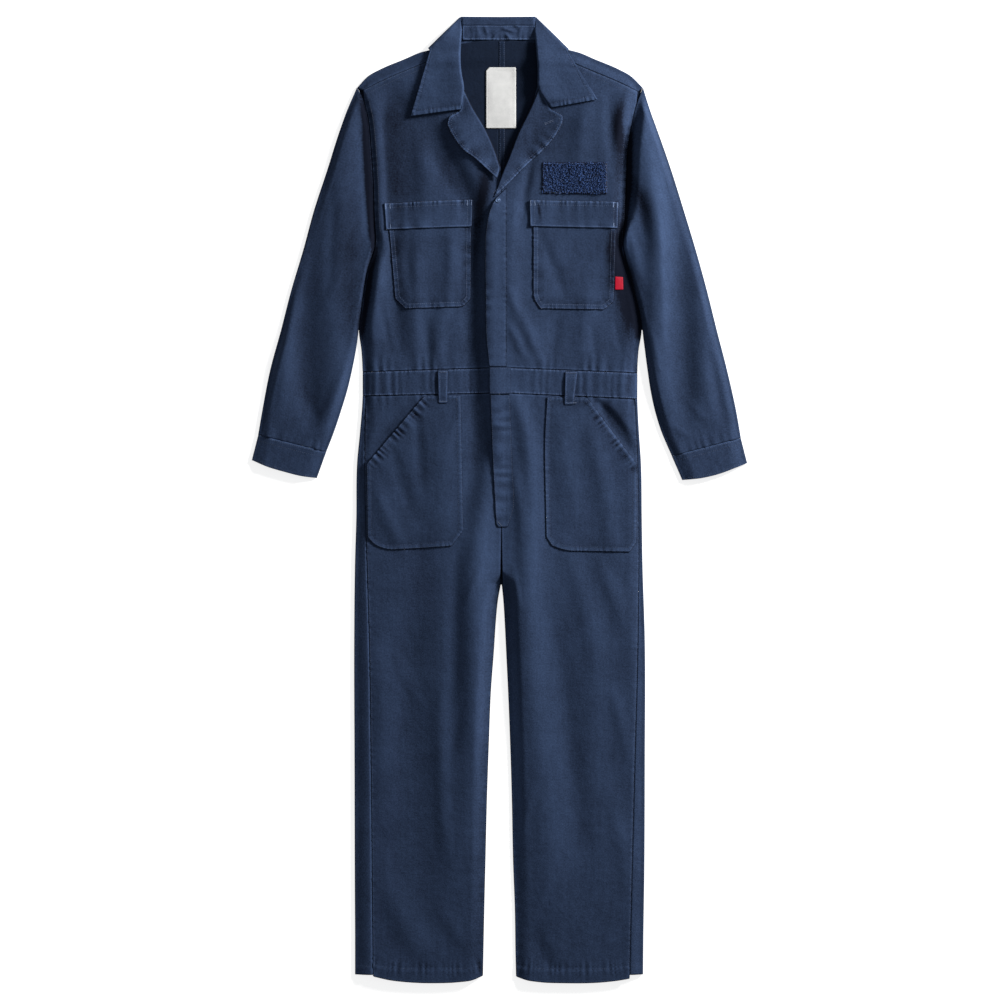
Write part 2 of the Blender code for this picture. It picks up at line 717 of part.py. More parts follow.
def sleeve(side):
    sign = SIDES[side]
    armhole = edge_points(BODY_EDGE, side, ARMPIT, SHOULDER_TIP)
    cuff_seam = [SLEEVE_OUTER[side][-1], SLEEVE_INNER[side][-1]]
    across = distances(armhole)
    shares = even(SLEEVE_ROWS)
    plan = patch(armhole, cuff_seam, SLEEVE_OUTER[side], SLEEVE_INNER[side], across, shares)
    plan[0] = [(x + TUBE_GAP, y - 0.2 * TUBE_GAP) for x, y in plan[0]]
    rings = []
    for share, row in zip(shares, plan):
        row = [(sign * x, y) for x, y in row]
        meets_body = smooth(share * 6.0 + 0.05)
        top = sleeve_top(row, meets_body)
        rings.append(ring(row, BACK_MID, top, FOLD_REACH))
    return wall("sleeve_" + side, [rings])


def cuff(side):
    sign = SIDES[side]
    drop = TUBE_GAP
    top_edge = [(x, y - drop) for x, y in (SLEEVE_OUTER[side][-1], SLEEVE_INNER[side][-1])]
    end = CUFF_END[side]
    plan = patch(top_edge, end, [top_edge[0], end[0]], [top_edge[1], end[-1]],
                 even(CUFF_ACROSS), even(CUFF_ROWS))
    rings = []
    for row in plan:
        row = [(sign * x, y) for x, y in row]
        rings.append(ring(row, BAND / 2, sleeve_top(row, 1.0), FOLD_RADIUS + BAND / 2))
    return wall("cuff_" + side, [rings], thickness=BAND)


# ---------------------------------------------------------------- fastening and pockets
PLACKET_LIFT = 3.2
PLACKET_FLAT = 10.0          # x where the strip starts to stand up
PLACKET_RUN = 34.0
WAIST_STEP = 0.8             # extra thickness of the waistband under the strip


def placket_lift(x, y):
    """The free edge of the closing strip stands up over the other front."""
    return PLACKET_LIFT * smooth((PLACKET_FLAT - x) / PLACKET_RUN)


def waist_lift(x, y):
    return WAIST_STEP + placket_lift(x, y) / 2


def lower_lift(x, y):
    return placket_lift(x, y) / 2


def plackets():
    upper = [(-8.3, 1300.2), (-17.4, 1279.9), (-24.1, 1243.3), (-24.1, 1155.4), (-22.4, 1065.7),
             (-17.4, 1022.6), (12.4, 1022.6), (12.4, 1321.0)]
    waist = [(-17.4, 1022.0), (-17.4, 977.0), (19.1, 977.7), (19.1, 1022.0)]
    lower = [(-15.8, 976.1), (-12.4, 878.1), (-5.8, 761.9), (-2.5, 757.0), (14.1, 757.0),
             (24.1, 786.8), (22.4, 849.9), (17.4, 976.1)]
    flat_piece("placket_upper", upper, 1, BAND, lift=placket_lift)
    flat_piece("placket_waist", waist, 1, BAND, lift=waist_lift)
    flat_piece("placket_lower", lower, 1, BAND, lift=lower_lift)


SNAP_CENTRE = (-2.5, 1299.8)
SNAP_RADIUS = 4.0
SNAP_DOME = 1.6
SNAP_SIDES = 12


def snap():
    """A domed cap on the closing strip, at the foot of the lapels."""
    def circle(width):
        turns = [2 * pi * step / SNAP_SIDES for step in range(SNAP_SIDES)]
        return [(SNAP_CENTRE[0] + SNAP_RADIUS * width * cos(turn),
                 SNAP_CENTRE[1] + SNAP_RADIUS * width * sin(turn)) for turn in turns]

    def strip_height(x, y):
        return front_height(x, y) + placket_lift(x, y)

    seat = max(facet_height(strip_height, x, y) for x, y in circle(1.0))
    seat += CLOTH / 2 + GAP + BAND + GAP
    bm = bmesh.new()
    rings = []
    for height, width in ((0.0, 1.0), (0.5, 1.0), (0.8, 0.82), (1.0, 0.45)):
        rings.append([bm.verts.new(to_frame(x, y, seat + SNAP_DOME * height))
                      for x, y in circle(width)])
    for lower, upper in zip(rings, rings[1:]):
        for step in range(SNAP_SIDES):
            after = (step + 1) % SNAP_SIDES
            bm.faces.new((lower[step], lower[after], upper[after], upper[step]))
    bm.faces.new(rings[0][::-1])
    bm.faces.new(rings[-1])
    add_object("snap", bm, "dark_metal")


def chest_pieces():
    pockets = {
        "right": [(-185.9, 1283.2), (-183.4, 1248.3), (-173.5, 1135.4), (-156.9, 1118.8),
                  (-60.6, 1122.2), (-47.3, 1135.4), (-46.5, 1286.5)],
        "left": [(55.6, 1286.5), (55.6, 1135.4), (67.2, 1118.8), (173.5, 1117.2),
                 (190.1, 1130.5), (193.4, 1253.3), (194.2, 1283.2)],
    }
    flaps = {
        "right": [(-191.7, 1294.8), (-44.0, 1301.4), (-45.6, 1255.0), (-188.4, 1250.0)],
        "left": [(49.0, 1299.8), (198.4, 1296.5), (196.7, 1251.6), (50.6, 1255.0)],
    }
    for side in SIDES:
        flat_piece("chest_pocket_" + side, pockets[side], 1)
        flat_piece("chest_flap_" + side, flaps[side], 2, BAND)
    patch_outline = [(70.5, 1309.7), (178.4, 1308.5), (178.0, 1361.5), (70.5, 1362.9)]
    flat_piece("loop_patch", patch_outline, 1, CLOTH, "loop_pile")
    tab = [(194.0, 1150.4), (205.5, 1150.8), (205.0, 1172.0), (194.0, 1172.4)]
    flat_piece("edge_tab", tab, 1, LABEL_CLOTH, "red_tape")


def flat_back(x, y):
    """Middle of the back layer's wall where nothing lies beneath it."""
    return BACK_MID


def waist_pieces():
    for side in SIDES:
        outline = [(centre_x(side), WAIST_BOTTOM), WAIST_FOOT[side], WAIST_END[side],
                   (centre_x(side), WAIST_TOP)]
        flat_piece("waistband_front_" + side, sided(side, outline), thickness=BAND)
    back = [(-227.4, 974.4), (229.1, 969.4), (229.1, BACK_WAIST_TOP), (-227.4, BACK_WAIST_TOP)]
    flat_piece("waistband_back", back, base=flat_back)
    loops = {
        "right": [(-102.9, 1016.9), (-84.7, 1016.9), (-86.3, 962.0), (-101.3, 962.0)],
        "left": [(108.7, 1015.3), (130.3, 1015.3), (122.8, 959.5), (107.1, 959.5)],
    }
    for side in SIDES:
        flat_piece("belt_loop_" + side, loops[side], 2, BAND)


# ---------------------------------------------------------------- trousers
HEM_CURVE = {
    "right": [(27.4, 11.6), (44.0, 5.0), (67.0, 1.7), (105.0, 0.0), (155.0, 1.7), (183.0, 5.0),
              (210.0, 11.2)],
    "left": [(27.4, 10.0), (44.0, 5.0), (66.0, 1.7), (107.0, 0.0), (175.0, 1.7), (202.0, 5.0),
             (216.0, 7.6)],
}


def hem_extra(x, y):
    """The turned hem is thicker than the leg above it."""
    return HEM_EXTRA * smooth((HEM_DEPTH + STITCHED_EDGE - y) / STITCHED_EDGE)


def trouser_front(side):
    inner = edge_points(INNER_LEG, side, 30, CROTCH)
    seam = edge_points(SIDE_SEAM, side, 60, 900)
    waist = (table_value(SIDE_SEAM, "y", 974, side), WAIST_FOOT[side][1] + 0.1)
    outline = [(centre_x(side), WAIST_BOTTOM)] + inner + HEM_CURVE[side] + seam[::-1] + [waist]
    rows = (HEM_DEPTH, HEM_DEPTH + STITCHED_EDGE)
    return flat_piece("trouser_front_" + side, sided(side, outline),
                      extra_top=hem_extra, extra_rows=rows)


LEG_HEIGHTS = (920, 870, 815, 760, 710, 664, 636, 603, 553, 486, 403, 304, 204, 121, 60)
LEG_COLUMNS = 4
BACK_HEM_INNER = 11.6
BACK_HEM_OUTER = 17.0


def trouser_back(side):
    """Half of the trouser back, wrapped round the outer edge to the seam on the front."""
    sign = SIDES[side]
    levels = [(BACK_WAIST_FOOT - GAP, WAIST_FOOT[side][1] - GAP)]
    levels += [(y, y) for y in LEG_HEIGHTS]
    levels.append((BACK_HEM_INNER, BACK_HEM_OUTER))
    rows = []
    for inner_y, outer_y in levels:
        inner = sign * CENTRE
        if outer_y <= CROTCH:
            inner = table_value(INNER_LEG, "y", inner_y, side)
        inner += GAP / 2
        outer = table_value(BODY_EDGE, "y", outer_y, side) - FOLD_REACH
        seam = table_value(SIDE_SEAM, "y", outer_y, side) + GAP
        row = [(lerp(inner, outer, u), lerp(inner_y, outer_y, u), BACK_MID)
               for u in even(LEG_COLUMNS)]
        for step in range(1, FOLD_STEPS + 1):
            angle = pi * step / FOLD_STEPS
            row.append((outer + FOLD_RADIUS * sin(angle), outer_y,
                        BACK_MID + FOLD_RADIUS * (1 - cos(angle))))
        middle = (seam + outer) / 2
        row.append((middle, outer_y, (BACK_MID + LAYER + front_height(sign * seam, outer_y)) / 2))
        row.append((seam, outer_y, front_height(sign * seam, outer_y)))
        rows.append([(sign * x, py, z) for x, py, z in row])
    return wall("trouser_back_" + side, [rows])


def hip_pockets():
    outlines = {
        "right": [(-125.3, 974.6), (-63.9, 975.9), (-59.8, 750.3), (-78.8, 725.4),
                  (-132.0, 721.3), (-186.8, 718.8), (-208.3, 727.1), (-219.5, 740.4),
                  (-221.1, 861.5)],
        "left": [(146.9, 970.6), (78.8, 973.6), (73.9, 898.1), (77.2, 740.4), (87.1, 725.4),
                 (110.4, 717.1), (216.6, 715.5), (228.2, 732.1), (228.7, 861.5)],
    }
    for side in SIDES:
        flat_piece("hip_pocket_" + side, outlines[side], 1)


def main():
    for existing in list(bpy.data.objects):
        bpy.data.objects.remove(existing, do_unlink=True)
    for side in SIDES:
        bodice_back(side)
        bodice_front(side)
        sleeve(side)
        cuff(side)
        trouser_back(side)
        trouser_front(side)
    lapels()
    collar()
    neck_pieces()
    plackets()
    snap()
    chest_pieces()
    waist_pieces()
    hip_pockets()


main()
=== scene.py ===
"""Boiler suit laid flat on its back: its cloth, seams, stitching and fastenings.

Tables are in millimetres: x from the centre line, positive on the wearer's left, y up from the
hem, and z from the surface that the suit lies on. Meshes are made in metres, in the part's frame.
"""
from __future__ import annotations

import json
import logging
import math
from dataclasses import dataclass, field
from enum import Enum
from typing import Callable, NamedTuple, Sequence

import bmesh
import bpy
import numpy as np
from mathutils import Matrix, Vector
from mathutils.geometry import delaunay_2d_cdt

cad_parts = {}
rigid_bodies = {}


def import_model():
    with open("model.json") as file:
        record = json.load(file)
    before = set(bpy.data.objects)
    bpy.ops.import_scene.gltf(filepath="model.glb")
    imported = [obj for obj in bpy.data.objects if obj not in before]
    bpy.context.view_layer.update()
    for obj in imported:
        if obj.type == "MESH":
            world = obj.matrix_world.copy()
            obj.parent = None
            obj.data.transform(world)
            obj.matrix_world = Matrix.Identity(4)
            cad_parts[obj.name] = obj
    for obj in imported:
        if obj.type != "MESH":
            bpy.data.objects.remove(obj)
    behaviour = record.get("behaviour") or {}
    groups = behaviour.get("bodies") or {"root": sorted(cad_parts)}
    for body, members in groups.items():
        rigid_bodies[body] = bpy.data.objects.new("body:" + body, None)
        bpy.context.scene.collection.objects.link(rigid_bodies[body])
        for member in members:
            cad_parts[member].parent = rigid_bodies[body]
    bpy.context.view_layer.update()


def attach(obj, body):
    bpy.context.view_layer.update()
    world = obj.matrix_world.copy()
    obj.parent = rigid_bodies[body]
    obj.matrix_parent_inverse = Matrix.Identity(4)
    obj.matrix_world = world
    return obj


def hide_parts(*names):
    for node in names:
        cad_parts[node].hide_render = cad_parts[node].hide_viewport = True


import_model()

log = logging.getLogger("boiler_suit")

Array = np.ndarray
Points = Array | Sequence[Sequence[float]]
Height = Callable[[Array, Array], Array]
Colour = tuple[float, float, float]
Grid = tuple[Array, Array, Array, bool]      # points, cut positions, tone with wear, painted light and painted shade, and whether it is turned

# ---------------------------------------------------------------- shared sizes
MM = 0.001
LENGTH = 1605.2              # collar roll to hem
CLOTH = 1.2                  # one layer of twill
GAP = 0.3                    # clearance between pieces
SEAT = 0.12                  # clearance under a piece that lies on another
BAND = 1.8                   # doubled cloth
BACK_MID = CLOTH / 2         # middle of the back layer's wall
LAYER = 2.4                  # middle of the back wall to middle of the front wall
TURNED_STEP = 0.4            # how far a turned-in edge stands up
TURNED_GROOVE = 0.28         # how far the cloth is drawn in beside it
PUFF_RUN = 26.0              # from a pocket's edge to its full height
FOLD_RADIUS = LAYER / 2
FOLD_REACH = FOLD_RADIUS + CLOTH / 2
CROWN = 5.0                  # how far the front stands up away from its edges
CROWN_RUN = 24.0
ARMHOLE_RUN = 9.0            # the same beside an armhole
CREASE_GAIN = 1.15           # strength of the creases in the tables
EDGE_DIP = 1.4               # how far a free front edge comes down onto the back
DIP_RUN = 14.0
NECK_RAISE = 2.4             # back lifted over the collar fall beneath it
CENTRE = 3.0                 # x of the meeting line of the two fronts
CROTCH = 664.0
WAIST_TOP = 1021.6
WAIST_BOTTOM = 979.3
BACK_WAIST_TOP = 1015.0
BACK_WAIST_FOOT = 971.9
ARMPIT = 1220.0
SHOULDER_TIP = 1487.0
NECK_SEAM = 1565.4
COLLAR_SEAM = 1590.3
COLLAR_ROLL = 1604.5
FALL_EDGE = 1540.0
HEM_DEPTH = 23.0
PICTURE_WIDTH = 1660.0       # width that the camera takes in


class Side(Enum):
    """The wearer's side that a piece belongs to, and its sign along X."""

    RIGHT = -1
    LEFT = 1

    @property
    def word(self) -> str:
        """The side's name as the part's nodes spell it."""
        return self.name.lower()


class Held(Enum):
    """How a cut piece of cloth is held in the finished suit."""

    LAID = "laid"
    FOLDED = "folded"


# Outer edge of the body, as distances from the centre line: y, right, left.
BODY_EDGE = np.array((
    (1487, 236.5, 238), (1472, 228.5, 232), (1456, 223.5, 226.5), (1434, 218.5, 221.5),
    (1384, 213.5, 213.5), (1330, 210, 211), (1275, 208.5, 208.5), (1220, 207.5, 206),
    (1179, 220.5, 215.8), (1155, 224.8, 222.4), (1125, 229, 229.6), (1084, 233.8, 236.2),
    (1050, 229.5, 231), (1014, 227.5, 229), (972, 227.5, 229), (918, 231.5, 231.5),
    (865, 236.5, 235), (769, 238, 236.5), (702, 240, 237.5), (569, 241.5, 241.5),
    (370, 241, 241.5), (171, 240.5, 240.5), (71, 240, 239), (12, 240, 238.5),
))
# Inner edge of each leg below the crotch: y, right, left.
INNER_LEG = np.array((
    (664, -2.7, 3.3), (636, 2.5, 6.1), (603, 5.8, 8.3), (553, 9.1, 10.8), (486, 14.1, 14.1),
    (403, 17.4, 17.4), (304, 20.8, 20.4), (204, 23.2, 22.4), (121, 25.2, 25.4),
    (38, 26.9, 26.7), (12, 27.4, 27.4),
))
# Seam on the front where the wrapped trouser back meets the trouser front: y, right, left.
SIDE_SEAM = np.array((
    (974, 222.9, 224.5), (865, 224.1, 229.8), (735, 221.6, 231.6), (569, 216.6, 229.9),
    (337, 213.3, 223.8), (71, 210.8, 217.2), (12, 210, 216),
))
# Height of the shoulder's folded edge: distance from the centre line, y.
SHOULDER = np.array((
    (236.5, 1487.4), (217, 1507), (198, 1517.5), (160, 1533.5), (130, 1545.5),
    (118, 1548.5), (103, 1551.5),
))
STRAP = {
    Side.RIGHT: np.array([(226.6, 1482.4), (193.4, 1499), (128.7, 1526), (104, 1536)]),
    Side.LEFT: np.array([(229.9, 1480.7), (193.4, 1497.3), (132, 1523), (106, 1534)]),
}
NECKLINE = {
    Side.RIGHT: np.array([(88, 1512), (70, 1494)]),
    Side.LEFT: np.array([(90, 1512), (74, 1500)]),
}
ROLL = {
    Side.RIGHT: np.array([(60.6, 1487.4), (45.6, 1455.8), (22.4, 1416), (7.5, 1382.8),
                          (-3, 1352)]),
    Side.LEFT: np.array([(63.9, 1494), (52.3, 1455.8), (29, 1407.7), (12.4, 1364.5),
                         (3, 1342)]),
}
WAIST_END = {Side.RIGHT: (227.4, 1014.3), Side.LEFT: (229.1, 1012.6)}
WAIST_FOOT = {Side.RIGHT: (227.4, 974.4), Side.LEFT: (229.1, 969.4)}

# Long creases of the front, each running down the cloth. Stations of y, x, half width and height, which is
# negative for a trough.
CREASES = (
    # broad swells of the body
    ((1400, 20, 50, 0), (1320, 26, 56, 2), (1200, 28, 60, 3.4), (1060, 28, 58, 3.4), (940, 22, 50, 2),
     (860, 16, 44, 0)),
    ((1500, -166, 56, 0), (1440, -168, 62, -4.6), (1360, -168, 62, -5.6), (1270, -164, 60, -4),
     (1180, -160, 50, 0)),
    ((1490, 16, 50, 0), (1440, 16, 60, -3.6), (1370, 10, 60, -3.6), (1310, 6, 50, -1.5), (1280, 4, 40, 0)),
    ((1490, 206, 60, 0), (1430, 214, 72, 6), (1330, 212, 70, 6.4), (1240, 204, 60, 3.6), (1150, 196, 50, 0)),
    ((860, -34, 44, 0), (760, -42, 58, 4.6), (600, -42, 62, 6.6), (460, -42, 62, 6.4), (320, -52, 60, 4.6),
     (160, -62, 56, 3.4), (60, -70, 50, 0)),
    ((900, 50, 30, 0), (760, 50, 42, 3.6), (560, 54, 46, 4.2), (380, 70, 48, 3.6), (200, 86, 48, 2.4),
     (80, 96, 40, 0)),
    ((1490, 84, 40, 0), (1440, 88, 48, -2.8), (1380, 88, 48, -2.8), (1330, 86, 40, 0)),
    # under and beside the closing strip
    ((1388, 60, 6, 0), (1350, 50, 7, -2.4), (1320, 44, 7, -2.8), (1295, 40, 7, -1.6), (1270, 38, 6, 0)),
    ((1330, -2, 16, 0), (1280, -6, 24, 3), (1150, -8, 26, 3.2), (1020, -6, 24, 3),
     (930, -4, 20, 3.6), (850, 2, 18, 3.2), (770, 4, 16, 0)),
    ((1450, -70, 22, 0), (1410, -60, 24, 3.4), (1350, -40, 24, 3.8), (1310, -28, 22, 2), (1280, -22, 20, 0)),
    ((1440, -122, 20, 0), (1390, -106, 22, -4), (1350, -82, 22, -4.8), (1300, -54, 19, -4.5),
     (1200, -44, 18, -4.5), (1080, -46, 17, -4.5), (960, -42, 17, -4), (880, -40, 15, -3),
     (800, -52, 15, -1.5), (740, -64, 16, 0)),
    # front, wearer's right
    ((1500, -180, 15, 0), (1440, -178, 16, -3), (1340, -176, 15, -3), (1240, -178, 13, -2.5),
     (1160, -172, 12, -2), (1090, -170, 11, -2), (1030, -166, 10, 0)),
    ((1440, -130, 20, 0), (1380, -126, 20, 3), (1300, -124, 22, 2), (1200, -136, 16, 2.2),
     (1100, -140, 13, 2.6), (1030, -138, 10, 1.2), (1000, -138, 8, 0)),
    ((1260, -84, 10, 0), (1210, -80, 11, 2.2), (1150, -84, 12, 1.8), (1090, -98, 12, 2.2),
     (1030, -102, 10, 1.4), (1005, -104, 8, 0)),
    ((1110, -122, 8, 0), (1080, -120, 8, -1.2), (1040, -118, 8, -1.2), (1010, -118, 7, 0)),
    ((1250, -212, 12, 0), (1180, -204, 13, 3.5), (1100, -208, 13, 3), (1040, -206, 11, 0)),
    ((1240, -150, 9, 0), (1200, -152, 9, -1.2), (1150, -146, 9, -1), (1110, -142, 8, 0)),
    # front, wearer's left
    ((1330, 24, 12, 0), (1280, 22, 14, 2.5), (1200, 20, 15, 2.5), (1120, 22, 14, 2),
     (1060, 28, 12, 0)),
    ((1160, 14, 8, 0), (1130, 24, 9, 1.6), (1090, 44, 10, 2.2), (1050, 60, 9, 1.8), (1020, 70, 8, 0)),
    ((1100, 14, 7, 0), (1080, 22, 7, 1.4), (1050, 36, 8, 1.5), (1024, 48, 7, 0)),
    ((1480, 150, 14, 0), (1440, 140, 15, 2.2), (1380, 132, 16, 2), (1320, 124, 16, 0)),
    ((1490, 188, 9, 0), (1440, 184, 10, -2.2), (1370, 190, 10, -2.4), (1300, 194, 10, 0)),
    ((1260, 66, 9, 0), (1220, 76, 10, -1.4), (1170, 96, 11, -1.6), (1120, 112, 12, 0)),
    ((1200, 150, 16, 0), (1120, 146, 18, 2.2), (1050, 138, 15, 1.6), (1010, 134, 12, 0)),
    ((1120, 96, 12, 0), (1080, 92, 12, -1.8), (1040, 86, 10, -1.2), (1010, 82, 9, 0)),
    # raised along the armholes, and down into them
    ((1486, -210, 10, 0), (1430, -203, 12, 3), (1330, -197, 12, 3.4), (1240, -193, 12, 3),
     (1180, -200, 12, 2), (1130, -206, 12, 0)),
    ((1240, 214, 12, 0), (1190, 208, 14, -2.5), (1130, 212, 14, -3), (1060, 214, 12, 0)),
    # trousers, wearer's right
    ((880, -20, 12, 0), (830, -22, 16, 3.2), (760, -30, 20, 4.4), (700, -36, 22, 5),
     (600, -38, 22, 5.6), (480, -40, 22, 5.4), (380, -42, 22, 4), (280, -50, 24, 2.4),
     (180, -56, 24, 0)),
    ((740, -64, 12, 0), (700, -70, 12, -1.2), (600, -74, 13, -2.2), (480, -74, 13, -2.2),
     (400, -78, 13, -1.6), (340, -82, 13, 0)),
    ((780, -122, 26, 0), (700, -132, 30, -1.6), (600, -142, 30, -2.4), (480, -142, 30, -2.6),
     (340, -134, 32, -2.6), (220, -126, 34, -2.4), (120, -110, 32, -1.6), (50, -100, 26, 0)),
    ((960, -90, 14, 0), (900, -92, 22, 2.4), (820, -94, 24, 2.4), (740, -104, 24, 1.6), (640, -112, 22, 0)),
    ((520, -96, 11, 0), (450, -98, 12, 1.4), (360, -96, 12, 1.6), (260, -92, 12, 1.6), (180, -80, 14, 0)),
    ((960, -142, 8, 0), (920, -136, 9, -1.6), (870, -132, 9, -1.6), (800, -128, 9, 0)),
    ((930, -188, 10, 0), (880, -176, 11, -1.4), (820, -160, 12, -1.6), (760, -140, 12, 0)),
    ((840, -206, 10, 0), (800, -196, 11, 1.5), (750, -176, 12, 1.7), (700, -154, 12, 0)),
    ((620, -206, 16, 0), (500, -196, 20, 2.2), (360, -192, 20, 2), (240, -196, 18, 0)),
    ((240, -196, 16, 0), (170, -186, 20, 1.4), (110, -164, 22, 1.8), (60, -134, 22, 1.4), (20, -110, 18, 0)),
    ((170, -206, 16, 0), (110, -196, 20, -0.9), (60, -170, 20, -0.9), (20, -150, 16, 0)),
    ((180, -110, 14, 0), (120, -96, 14, 1), (80, -70, 15, 1.2), (40, -50, 14, 0)),
    # trousers, wearer's left
    ((990, 22, 10, 0), (950, 34, 14, 3.6), (900, 46, 17, 4.8), (820, 50, 20, 5), (700, 48, 21, 4.8),
     (600, 46, 21, 4.6), (500, 52, 23, 4), (400, 64, 26, 3.4), (280, 74, 28, 2.8), (160, 88, 30, 1.8),
     (60, 100, 28, 0)),
    ((880, 26, 8, 0), (830, 28, 9, 2), (780, 34, 9, 1.4), (720, 36, 9, 0)),
    ((940, 148, 12, 0), (880, 162, 16, 2.4), (800, 176, 18, 2.4), (730, 186, 16, 1.6), (680, 196, 14, 0)),
    ((972, 160, 6, 0), (950, 176, 9, -5), (920, 196, 11, -6), (892, 214, 10, -4), (872, 226, 8, 0)),
    ((968, -136, 6, 0), (940, -166, 9, -1.8), (900, -198, 10, -2.2), (868, -220, 8, 0)),
    ((960, 108, 14, 0), (880, 108, 18, 2), (780, 118, 20, 2), (700, 96, 18, 0)),
    ((740, 112, 14, 0), (690, 124, 18, 2.2), (630, 142, 20, 3), (560, 156, 22, 3), (490, 160, 22, 2.6),
     (400, 158, 24, 2.2), (300, 162, 24, 1.9), (200, 172, 24, 1.5), (100, 170, 22, 0)),
    ((720, 164, 11, 0), (680, 176, 14, 1.8), (630, 194, 14, 2), (570, 210, 12, 0)),
    ((500, 184, 10, 0), (460, 194, 11, 1.8), (410, 206, 12, 1.6), (360, 212, 12, 0)),
    ((660, 82, 14, 0), (560, 96, 18, -2), (440, 112, 18, -2.4), (330, 124, 18, -2.2), (200, 134, 18, 0)),
    ((340, 182, 14, 0), (260, 196, 15, 2.2), (190, 208, 14, 1.6), (130, 214, 12, 0)),
    ((110, 60, 14, 0), (70, 62, 15, -2), (40, 76, 14, -1.8), (15, 96, 12, 0)),
    # sleeve, wearer's right
    ((1480, -246, 12, 0), (1420, -250, 18, 3), (1340, -258, 22, 2.8), (1250, -266, 25, 2.8),
     (1150, -272, 26, 3.4), (1050, -272, 24, 3.6), (960, -272, 20, 3), (900, -286, 16, 0)),
    ((1400, -284, 16, 0), (1330, -300, 20, -2.4), (1240, -316, 22, -3.6), (1150, -324, 22, -4.2),
     (1050, -324, 22, -4.4), (960, -316, 18, -3.6), (905, -306, 14, 0)),
    ((1330, -278, 8, 0), (1280, -276, 9, -1.4), (1200, -280, 9, -1.4), (1120, -284, 9, 0)),
    ((1250, -326, 16, 0), (1120, -346, 20, 3), (1000, -362, 22, 3.5), (920, -366, 18, 0)),
    ((1050, -250, 8, 0), (1000, -262, 9, 1.8), (950, -284, 10, 2), (900, -310, 9, 0)),
    # sleeve, wearer's left
    ((1480, 240, 12, 0), (1420, 242, 18, 3), (1340, 252, 21, 6.4), (1260, 261, 22, 9),
     (1180, 263, 22, 8.4), (1080, 264, 20, 6), (980, 270, 18, 3.4), (910, 288, 14, 0)),
    ((1340, 290, 14, 0), (1260, 304, 18, -1.6), (1160, 308, 20, -3), (1060, 308, 20, -3.6),
     (960, 310, 18, -3.2), (905, 312, 14, 0)),
    ((1330, 296, 16, 0), (1220, 322, 20, 1.2), (1100, 334, 22, 2.2), (1000, 344, 22, 2.4), (920, 350, 18, 0)),
    ((1270, 212, 8, 0), (1230, 218, 9, 2), (1190, 228, 10, 2), (1140, 242, 10, 0)),
    ((1330, 228, 8, 0), (1290, 236, 10, -1.4), (1240, 244, 10, -1.4), (1190, 250, 9, 0)),
    ((1300, 262, 6, 0), (1250, 265, 6, 0.9), (1180, 269, 6, 0.9), (1090, 272, 6, 0.7), (1040, 273, 6, 0)),
    ((1060, 344, 9, 0), (1010, 356, 10, -1.8), (960, 366, 10, -1.6), (915, 378, 9, 0)),
)
